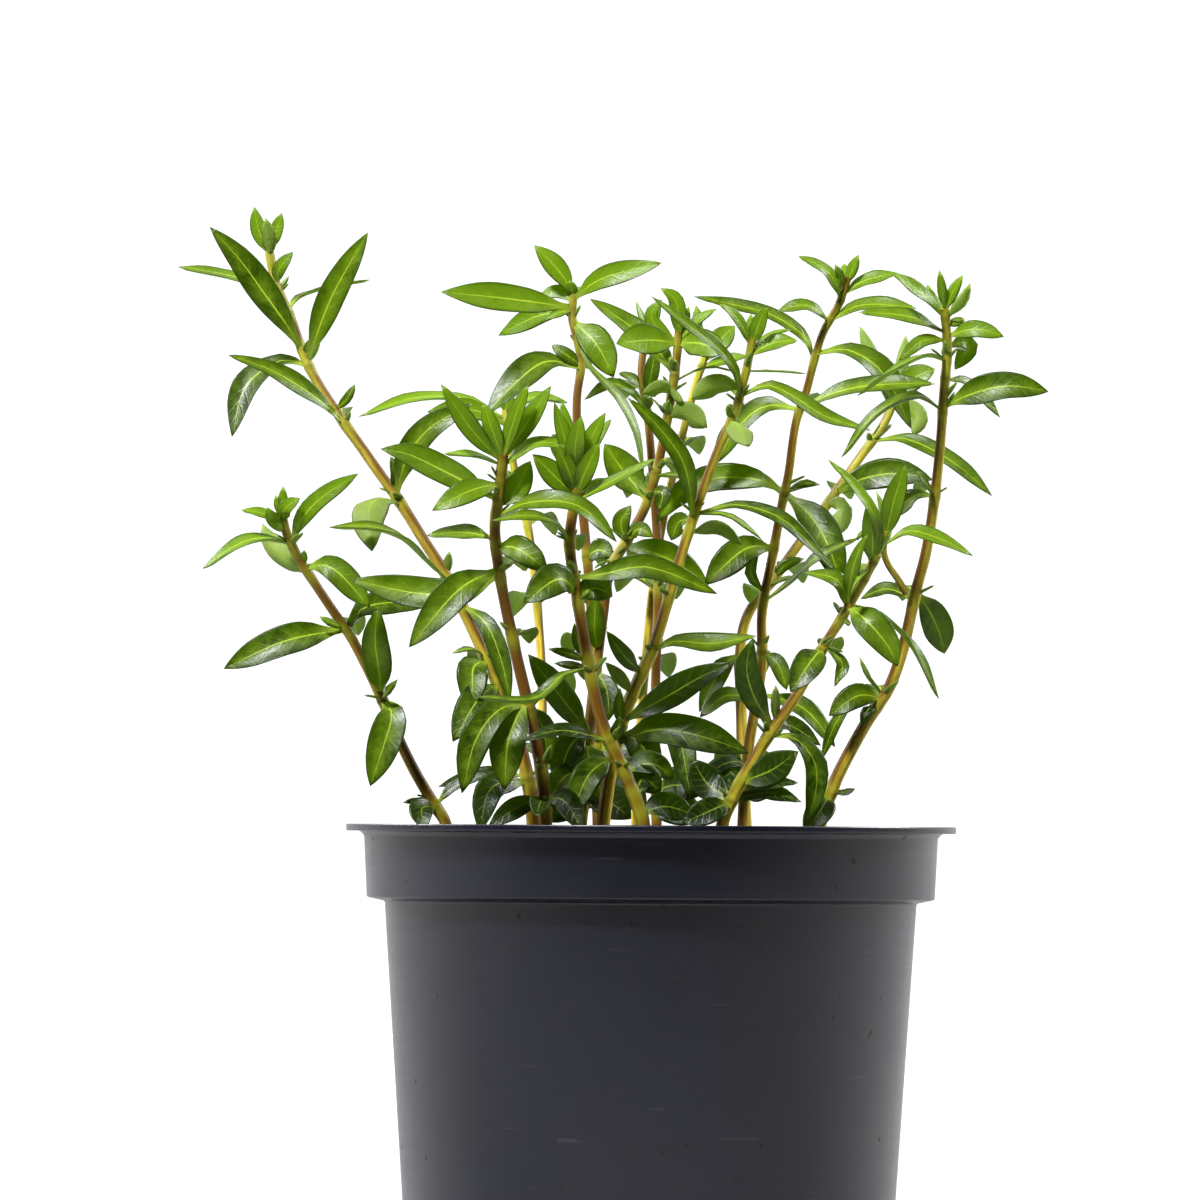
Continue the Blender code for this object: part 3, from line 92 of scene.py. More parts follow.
# %% [markdown]
# ## Camera
#
# The picture was taken straight from the front, level with the rim, from far enough away that the rim
# shows no ellipse. A long lens far off gives that. The picture's frame is 120 mm wide at the plant, and
# its middle lies 22.5 mm above the rim, so the camera looks up a little. It leans by a third of a degree,
# because the real rim runs down slightly to the right.

# %% Camera
FRAME_WIDTH = 0.120
CAMERA_DISTANCE = 1.6
SENSOR = 36
AIM = Vector((-0.00525, 0, POT_HEIGHT + 0.0225))
CAMERA_ROLL = math.radians(0.35)

camera = bpy.data.objects.new("camera", bpy.data.cameras.new("camera"))
bpy.context.scene.collection.objects.link(camera)
bpy.context.scene.camera = camera
camera.location = (AIM.x, -CAMERA_DISTANCE, POT_HEIGHT)
camera.data.sensor_width = SENSOR
camera.data.lens = SENSOR * CAMERA_DISTANCE / FRAME_WIDTH
camera.data.clip_start = 0.05
camera.data.clip_end = 30
camera.rotation_euler = (AIM - camera.location).to_track_quat("-Z", "Y").to_euler()
camera.rotation_euler.rotate_axis("Z", CAMERA_ROLL)
print("Lens", round(camera.data.lens), "mm at", CAMERA_DISTANCE, "m")

# %% [markdown]
# ## Nodes and colours
#
# A node tree in code gets long. One helper adds a node, sets its properties, and fills its sockets with
# values or with the outputs of other nodes. Colours are written as the hex values that a picture editor
# shows, and one function turns them into the linear values that shaders work with. A Mix node has sockets
# for numbers, vectors and colours side by side: its two colours are inputs 6 and 7, and the mixed colour
# is output 2.

# %% Helpers for node trees and colours
MATHS, VECTOR, MIX, RANGE = "ShaderNodeMath", "ShaderNodeVectorMath", "ShaderNodeMix", "ShaderNodeMapRange"
NOISE, ATTRIBUTE = "ShaderNodeTexNoise", "ShaderNodeAttribute"
NAMED, STORE = "GeometryNodeInputNamedAttribute", "GeometryNodeStoreNamedAttribute"
OF_COLOURS = {"out": 2, "data_type": "RGBA"}
FLOAT_ON_POINTS = {"data_type": "FLOAT", "domain": "POINT"}


def add(tree, kind, *feeds, out=0, **settings):
    """Adds a node and returns one of its outputs. Feeds fill its sockets in order, a dictionary by name."""
    node = tree.nodes.new(kind)
    for name, value in settings.items():
        setattr(node, name, value)
    for place_in_order, feed in enumerate(feeds):
        for key, value in (feed if isinstance(feed, dict) else {place_in_order: feed}).items():
            if isinstance(value, bpy.types.NodeSocket):
                tree.links.new(value, node.inputs[key])
            else:
                node.inputs[key].default_value = value
    return node.outputs[out] if len(node.outputs) else node


def linear(hex_colour):
    """The linear colour of an sRGB hex value such as #4F7F10."""
    parts = [int(hex_colour[i:i + 2], 16) / 255 for i in (1, 3, 5)]
    return (*(c / 12.92 if c <= 0.04045 else ((c + 0.055) / 1.055) ** 2.4 for c in parts), 1)


def new_material(name):
    """A material with an empty node tree, and that tree."""
    material = bpy.data.materials.new(name)
    material.use_nodes = True
    material.node_tree.nodes.clear()
    return material, material.node_tree


print("Leaf green is", [round(c, 3) for c in linear("#4F7F10")], "in linear values")

# %% [markdown]
# ## Stage
#
# The picture shows the plant before pure white, with a dark pot that has pale edges. So the plant stands
# on a floor that curves up into a wall without a corner, and no line shows behind the pot. The paper is
# dim grey near the plant, where it would light the pot from below. It glows more and more further back,
# and behind the plant the camera sees pure white.

# %% Stage
SWEEP_FRONT = -0.16
SWEEP_BACK = 2.4
SWEEP_RADIUS = 1.2
SWEEP_HEIGHT = 5.0
SWEEP_HALF_WIDTH = 6.0
SWEEP_STEPS = 12
PAPER_GREY = "#898989"
WHITE = "#FFFFFF"
GLOW_FROM = 0.3
GLOW_FULL = 1.6


def studio_sweep():
    """A floor that turns up into a wall in a quarter circle."""
    line = [(SWEEP_FRONT, 0.0)]
    for step in range(SWEEP_STEPS + 1):
        angle = math.radians(90 * step / SWEEP_STEPS)
        line.append((SWEEP_BACK + SWEEP_RADIUS * math.sin(angle), SWEEP_RADIUS * (1 - math.cos(angle))))
    line.append((SWEEP_BACK + SWEEP_RADIUS, SWEEP_HEIGHT))
    points = [(side * SWEEP_HALF_WIDTH, y, z) for y, z in line for side in (-1, 1)]
    faces = [(2 * i, 2 * i + 1, 2 * i + 3, 2 * i + 2) for i in range(len(line) - 1)]
    mesh = bpy.data.meshes.new("studio_sweep")
    mesh.from_pydata(points, [], faces)
    mesh.shade_smooth()
    sweep = bpy.data.objects.new("studio_sweep", mesh)
    bpy.context.scene.collection.objects.link(sweep)
    return sweep


def lit_paper():
    """Matt grey paper near the plant that glows white towards the back."""
    material, tree = new_material("lit_paper")
    y = add(tree, "ShaderNodeSeparateXYZ", add(tree, "ShaderNodeTexCoord", out="Object"), out="Y")
    glow = add(tree, RANGE, y, GLOW_FROM, GLOW_FULL, 0.0, 1.0)
    surface = add(tree, "ShaderNodeBsdfPrincipled",
                  {"Base Color": linear(PAPER_GREY), "Roughness": 0.9, "Emission Color": linear(WHITE),
                   "Emission Strength": glow})
    add(tree, "ShaderNodeOutputMaterial", surface)
    return material


sweep = studio_sweep()
sweep.data.materials.append(lit_paper())
print("The floor is", 2 * SWEEP_HALF_WIDTH, "m wide")

# %% [markdown]
# ## Light
#
# The room is white behind the plant and dim in front of it. Its light grazes the pot's sides, so the pot
# gets pale edges and a dark middle. Two large lamps, beside and a little behind the plant, shine through
# the leaves, and a small lamp high above the front gives the blades and stems their gloss.

# %% Light
ROOM_DIM = 0.02
ROOM_BRIGHT = 0.8
FADE_FROM = 0.1
FADE_TO = 0.9


def light(name, location, size, power):
    """A square white lamp that faces the plant."""
    lamp = bpy.data.objects.new(name, bpy.data.lights.new(name, "AREA"))
    bpy.context.scene.collection.objects.link(lamp)
    lamp.data.size = size
    lamp.data.energy = power
    lamp.location = location
    lamp.rotation_euler = (AIM - Vector(location)).to_track_quat("-Z", "Y").to_euler()


def studio_room():
    """A room that lights the plant from behind. Where the camera sees it, it is pure white."""
    world = bpy.data.worlds.new("studio_room")
    world.use_nodes = True
    tree = world.node_tree
    tree.nodes.clear()
    y = add(tree, "ShaderNodeSeparateXYZ", add(tree, "ShaderNodeTexCoord", out="Generated"), out="Y")
    strength = add(tree, RANGE, y, FADE_FROM, FADE_TO, ROOM_DIM, ROOM_BRIGHT)
    seen = add(tree, "ShaderNodeLightPath", out="Is Camera Ray")
    strength = add(tree, MATHS, strength, seen, operation="MAXIMUM")
    room = add(tree, "ShaderNodeBackground", {"Color": linear(WHITE), "Strength": strength})
    add(tree, "ShaderNodeOutputWorld", room)
    return world


light("lamp_above_front", (-0.5, -0.8, 1.3), 0.25, 60)
light("lamp_behind_left", (-1.1, 0.6, 0.9), 0.6, 34)
light("lamp_behind_right", (1.1, 0.5, 0.9), 0.6, 38)
bpy.context.scene.world = studio_room()
bpy.context.scene.view_settings.view_transform = "Standard"

# %% [markdown]
# ## The table of stems
#
# These rows are the plant. They were read off the picture, stem by stem and leaf by leaf, and what the
# picture hides at the back was filled in the same way. A stem's row gives its radius at the foot and at
# the tip, its lean to the back in millimetres, and then its path from the rim to the tip.

# %% The table of stems
STEMS = {
    "stem_left_low": (0.62, 0.42, -7, [
        (-20.5, -3, 0), (-21.7, -3.3, 2.0), (-23.6, -3.7, 5.2), (-25.3, -4, 8.6), (-27.1, -4.3, 12.8),
        (-30.4, -5, 19.2), (-31.3, -5.1, 20.4), (-34.0, -5.6, 24.4), (-35.5, -5.9, 26.8),
        (-36.6, -6.1, 29.2), (-37.0, -6.2, 31.2),
    ]),
    "stem_left_tall": (0.72, 0.42, 5, [
        (-11.8, 4, 0), (-12.8, 4.4, 6.5), (-15.0, 4.9, 13.0), (-16.9, 5.1, 17.2), (-20.4, 5.5, 24.4),
        (-23.0, 5.8, 28.5), (-25.6, 6.1, 32.6), (-28.4, 6.3, 36.5), (-34.4, 6.9, 45.4),
        (-36.7, 7.4, 51.2), (-38.2, 7.8, 54.6), (-39.0, 8, 58.6),
    ]),
    "stem_front_dark": (0.68, 0.5, -5, [
        (-10.5, -12, 0), (-10.9, -12.4, 5.0), (-12.2, -13, 11.3), (-13.8, -13.6, 18.0),
        (-15.2, -14.2, 24.8), (-15.7, -14.8, 29.4), (-15.2, -15.2, 33.4), (-14.9, -15.6, 36.6),
    ]),
    "stem_back_left": (0.5, 0.38, 2, [
        (-11.4, 15, 0), (-11.0, 17, 12.0), (-11.4, 18.5, 20.0), (-12.4, 20, 29.0), (-14.0, 21, 36.0),
        (-15.0, 22, 42.0),
    ]),
    "stem_centre_tall": (0.62, 0.38, 3, [
        (-5.3, 9, 0), (-5.6, 9.6, 14.0), (-6.4, 10.2, 25.0), (-7.5, 11, 37.0), (-7.7, 11.3, 43.0),
        (-7.3, 11.5, 46.6), (-7.7, 11.7, 49.0), (-8.2, 11.8, 51.0), (-8.1, 12, 54.0),
    ]),
    "stem_front_centre": (0.7, 0.5, -3, [
        (-0.8, -16, 0), (-2.6, -16, 5.0), (-4.9, -16, 10.0), (-6.3, -16, 15.6), (-7.5, -16, 22.5),
        (-8.3, -16, 28.0), (-7.8, -16, 32.2), (-7.6, -16, 34.6),
    ]),
    "stem_back_red": (0.55, 0.38, 3, [
        (0.6, 15, 0), (0.4, 16.5, 12.0), (0.6, 17.4, 26.0), (-0.2, 18.4, 38.0), (-0.6, 18.8, 42.0),
        (-1.2, 19.2, 46.0), (-0.6, 20, 50.6),
    ]),
    "stem_middle": (0.62, 0.42, 0, [
        (-7.0, -1.5, 0), (-6.2, -0.8, 10.0), (-5.0, 0.4, 20.5), (-4.2, 0.8, 25.6), (-2.4, 1.3, 28.8),
        (-0.9, 1.6, 31.6), (0.1, 1.8, 34.6), (0.8, 2.0, 37.6), (1.6, 2.3, 42.0), (2.2, 2.7, 46.0),
        (2.5, 3, 49.5),
    ]),
    "stem_back_yellow": (0.5, 0.38, 2, [
        (-1.5, 20.5, 0), (-0.8, 21.5, 14.0), (0.6, 22.8, 28.0), (2.4, 24, 37.0), (4.4, 24.8, 45.0),
        (5.5, 25.2, 48.5),
    ]),
    "stem_centre_leaning": (0.75, 0.38, -5, [
        (-4.8, -7, 0), (-3.4, -6.6, 8.8), (-2.0, -6.2, 13.0), (0.2, -5.7, 18.0), (1.6, -5.3, 22.7),
        (3.9, -4.5, 30.4), (6.4, -3.7, 37.4), (8.2, -3.2, 41.6), (9.1, -3, 45.0), (9.8, -2.7, 48.6),
    ]),
    "stem_right_tall": (0.6, 0.36, -2, [
        (9.2, 4, 0), (9.7, 4, 7.5), (11.0, 3.6, 16.0), (11.0, 3.5, 21.5), (12.0, 3.3, 27.0),
        (12.8, 3.1, 31.6), (13.5, 3, 35.0), (14.3, 3, 40.6), (15.3, 3, 43.6), (16.1, 2.8, 46.8),
        (17.0, 2.6, 49.6), (18.5, 2.3, 52.3), (19.4, 2, 55.0),
    ]),
    "stem_back_right": (0.62, 0.42, 6, [
        (9.6, 13, 0), (9.1, 13, 10.0), (9.4, 13.3, 20.6), (12.6, 13.6, 25.4), (17.0, 14.2, 31.6),
        (21.0, 14.8, 37.4), (23.6, 15.4, 41.2), (24.9, 16, 45.5),
    ]),
    "stem_right": (0.72, 0.42, -5, [
        (16.8, -3, 0), (18.2, -3.2, 4.2), (20.4, -3.5, 8.6), (22.4, -3.8, 12.0), (23.6, -4.1, 13.8),
        (24.9, -4.4, 17.4), (25.7, -4.9, 21.0), (26.2, -5, 23.4), (27.2, -5.4, 27.4), (27.9, -5.8, 32.0),
        (28.5, -6, 38.0), (28.8, -6.2, 43.0), (29.1, -6.3, 47.3), (28.8, -6.5, 51.5),
    ]),
    "stem_front_right": (0.7, 0.42, -8, [
        (7.0, -13.5, 0), (8.0, -13.6, 2.8), (10.0, -13.8, 6.4), (11.8, -14, 9.4), (14.3, -14.5, 13.0),
        (16.8, -14.9, 17.6), (18.9, -15.4, 21.0), (20.6, -16, 24.0), (22.2, -16.8, 27.0),
    ]),
}
SIDE_SHOOT = (0.36, 0.28, -5, [
    (25.2, -5.9, 23.3), (24.4, -6.6, 24.6), (23.3, -7.6, 26.2), (22.9, -8.2, 27.6), (23.2, -8.8, 29.4),
])
print(len(STEMS), "stems and a side shoot")

# %% [markdown]
# ## The table of broad leaves
#
# The broadest leaves are solids of their own, so each becomes a piece of its own here. A leaf's row gives
# the height where it leaves the stem, its width, the way its upper side looks, and the points of its
# midrib up to the tip. Seven ways to look are enough, and each has a name.

# %% The table of broad leaves
UP = (0, 0, 1)
TILT = (0, -0.5, 1)
HALF = (0, -1, 1)
FRONT = (0, -1, 0.35)
BACK = (0, 1, 0.5)
TURNED = (0, 0.5, -1)
RIGHT = (1, -0.6, 0.5)

BROAD_LEAVES = {
    "stem_left_low": [
        (19.3, 3.3, FRONT, [(-36.5, -6.5, 18.1), (-42.7, -7, 15.3)]),
        (25.4, 2.8, FRONT, [(-32.2, -6.8, 25.5), (-28.1, -8, 21.5)]),
        (12.3, 3.4, FRONT, [(-25.9, -6.8, 10.8), (-26.6, -7.8, 8.0), (-28.0, -8.2, 3.7)]),
        (27.8, 2.2, TILT, [(-38.5, -7, 28.3), (-41.0, -7.5, 27.7), (-44.8, -8, 25.2)]),
    ],
    "stem_left_tall": [
        (47.6, 3.0, FRONT, [(-36.9, 5.4, 50.0), (-39.2, 4.8, 53.2), (-41.6, 4, 56.5), (-44.8, 3, 60.0)]),
        (46.4, 2.8, FRONT, [(-33.9, 4.9, 49.2), (-32.4, 3.7, 53.0), (-28.8, 2, 59.5)]),
        (46.0, 2.8, HALF, [(-37.3, 8.4, 46.6), (-41.0, 7.8, 44.0), (-42.4, 6.8, 38.8)]),
        (40.0, 2.5, HALF, [(-33.3, 5.0, 42.2), (-38.0, 3.4, 45.2), (-42.8, 2.4, 47.0)]),
        (33.0, 2.8, FRONT, [(-24.8, 4.4, 36.6), (-22.6, 3.4, 39.6), (-18.2, 3.0, 42.2)]),
        (24.2, 2.2, TILT, [
            (-22.6, 3.2, 26.4), (-25.2, 0.2, 28.7), (-28.0, -1.6, 29.6), (-32.5, -2.4, 29.6),
        ]),
    ],
    "stem_front_dark": [
        (32.2, 3.0, FRONT, [(-21.0, -14.2, 35.0), (-24.5, -14.0, 36.6), (-27.1, -14.0, 37.1)]),
        (30.6, 2.7, HALF, [(-12.0, -17.4, 31.8), (-7.4, -18.8, 31.4), (-3.6, -18.6, 27.9)]),
        (25.2, 3.4, FRONT, [(-19.0, -17.6, 23.3), (-24.1, -19.2, 17.4)]),
        (24.6, 3.4, FRONT, [(-18.4, -12, 23.0), (-23.0, -11, 22.8), (-30.1, -10.5, 24.2)]),
        (12.2, 3.6, FRONT, [(-14.2, -15.6, 8.5), (-14.6, -16.4, 3.4)]),
    ],
    "stem_centre_tall": [
        (52.3, 3.1, FRONT, [(-15.3, 9, 53.0), (-21.5, 8, 53.6)]),
        (52.9, 2.4, FRONT, [(-5.6, 9.6, 54.9), (0.8, 8.5, 56.7)]),
        (46.0, 3.5, HALF, [(-10.8, 9.4, 46.6), (-13.4, 8, 44.8), (-16.8, 7, 41.2)]),
        (48.4, 1.7, RIGHT, [(-6.2, 8.4, 45.9), (-3.6, 7.4, 43.0), (-1.8, 7.2, 39.6), (-0.9, 7.2, 35.3)]),
    ],
    "stem_front_centre": [
        (15.8, 1.7, TILT, [(-8.8, -17.8, 14.8), (-11.6, -19.2, 12.4), (-17.4, -19.5, 12.6)]),
        (24.4, 2.5, FRONT, [(-4.8, -18.2, 24.8), (-0.8, -18.6, 25.5), (6.4, -17.6, 22.9)]),
    ],
    "stem_middle": [
        (48.3, 3.4, FRONT, [(-0.6, 1.2, 48.5), (-3.8, -1.0, 48.1)]),
        (45.0, 2.8, HALF, [(1.0, 5.0, 46.8), (-1.4, 7.0, 49.3), (-6.5, 8.0, 52.9)]),
        (32.6, 3.4, FRONT, [(-2.8, 2.6, 35.2), (-4.9, 2.6, 38.2)]),
    ],
    "stem_centre_leaning": [
        (42.3, 1.6, HALF, [(8.2, -4.8, 44.8), (6.6, -5.4, 47.1), (3.0, -5.8, 49.9), (-0.4, -5.5, 52.6)]),
        (42.8, 2.0, HALF, [(11.3, -4.8, 43.8), (14.0, -5.2, 42.6), (17.0, -5.6, 40.7), (21.7, -5, 39.4)]),
        (30.6, 2.0, FRONT, [(3.6, -6.8, 33.5), (2.9, -7.4, 36.2), (0.4, -7.8, 39.6), (-2.7, -8, 42.5)]),
        (30.8, 1.8, HALF, [(8.2, -5.6, 31.9), (12.6, -6.8, 30.6), (15.2, -6.8, 28.4), (18.3, -6.5, 25.2)]),
        (10.2, 3.0, FRONT, [(1.2, -9.6, 12.6), (4.6, -11.0, 14.6), (8.0, -11.6, 16.2)]),
        (8.2, 3.6, FRONT, [(0.4, -8.8, 9.5), (4.6, -10, 8.9), (9.7, -10, 7.2)]),
    ],
    "stem_right_tall": [
        (46.6, 1.9, HALF, [(15.2, 4.6, 48.8), (12.0, 6.0, 51.1), (8.0, 6.8, 52.2), (3.9, 7.0, 53.1)]),
        (47.4, 3.0, HALF, [(19.3, 1.2, 47.6), (22.6, 1, 45.6), (25.8, 2, 39.8)]),
        (41.7, 2.9, HALF, [(11.3, 4, 42.0), (8.6, 4.5, 40.0), (6.0, 4.5, 36.0)]),
        (41.9, 2.7, HALF, [(19.4, -0.8, 43.6), (23.8, -2, 44.1), (28.2, -2.2, 44.2)]),
        (33.2, 3.5, FRONT, [(15.8, 1.0, 31.0), (17.6, -0.8, 27.8), (18.9, -1.2, 23.8)]),
    ],
    "stem_back_right": [
        (39.0, 2.2, HALF, [(25.4, 13.8, 39.2), (30.3, 12.5, 36.8), (34.3, 12, 33.4)]),
    ],
    "stem_right": [
        (41.7, 3.1, FRONT, [(31.5, -7, 43.0), (35.0, -7.5, 43.8), (39.2, -7.5, 43.3)]),
        (41.4, 2.0, TILT, [(26.3, -8.0, 42.8), (22.4, -8.8, 41.2), (18.6, -8, 36.6)]),
        (23.3, 3.2, FRONT, [(27.4, -4.0, 21.8), (28.6, -2.8, 19.4), (29.2, -1.8, 17.3)]),
    ],
    "stem_front_right": [
        (26.8, 1.4, HALF, [(21.8, -18.6, 30.5), (19.8, -18.9, 33.5), (17.1, -19, 36.2)]),
        (21.8, 3.2, FRONT, [(21.2, -18.2, 20.2), (23.2, -19.0, 17.8), (24.2, -19.3, 15.8)]),
        (22.0, 1.6, TILT, [(22.2, -14.6, 21.2), (25.6, -12.5, 18.2), (28.5, -11.5, 12.6)]),
        (17.6, 3.0, FRONT, [(15.6, -17.6, 16.2), (13.6, -19.4, 13.2)]),
    ],
}
print(sum(len(rows) for rows in BROAD_LEAVES.values()), "broad leaves")

# %% [markdown]
# ## The table of young and small leaves
#
# The rest are joined to their stems in the solids, or too narrow for them. Their rows say the same
# things. Two of them look another way here than in their solids, TURNED, because a fine blade creases
# where the way it looks lies along its midrib.

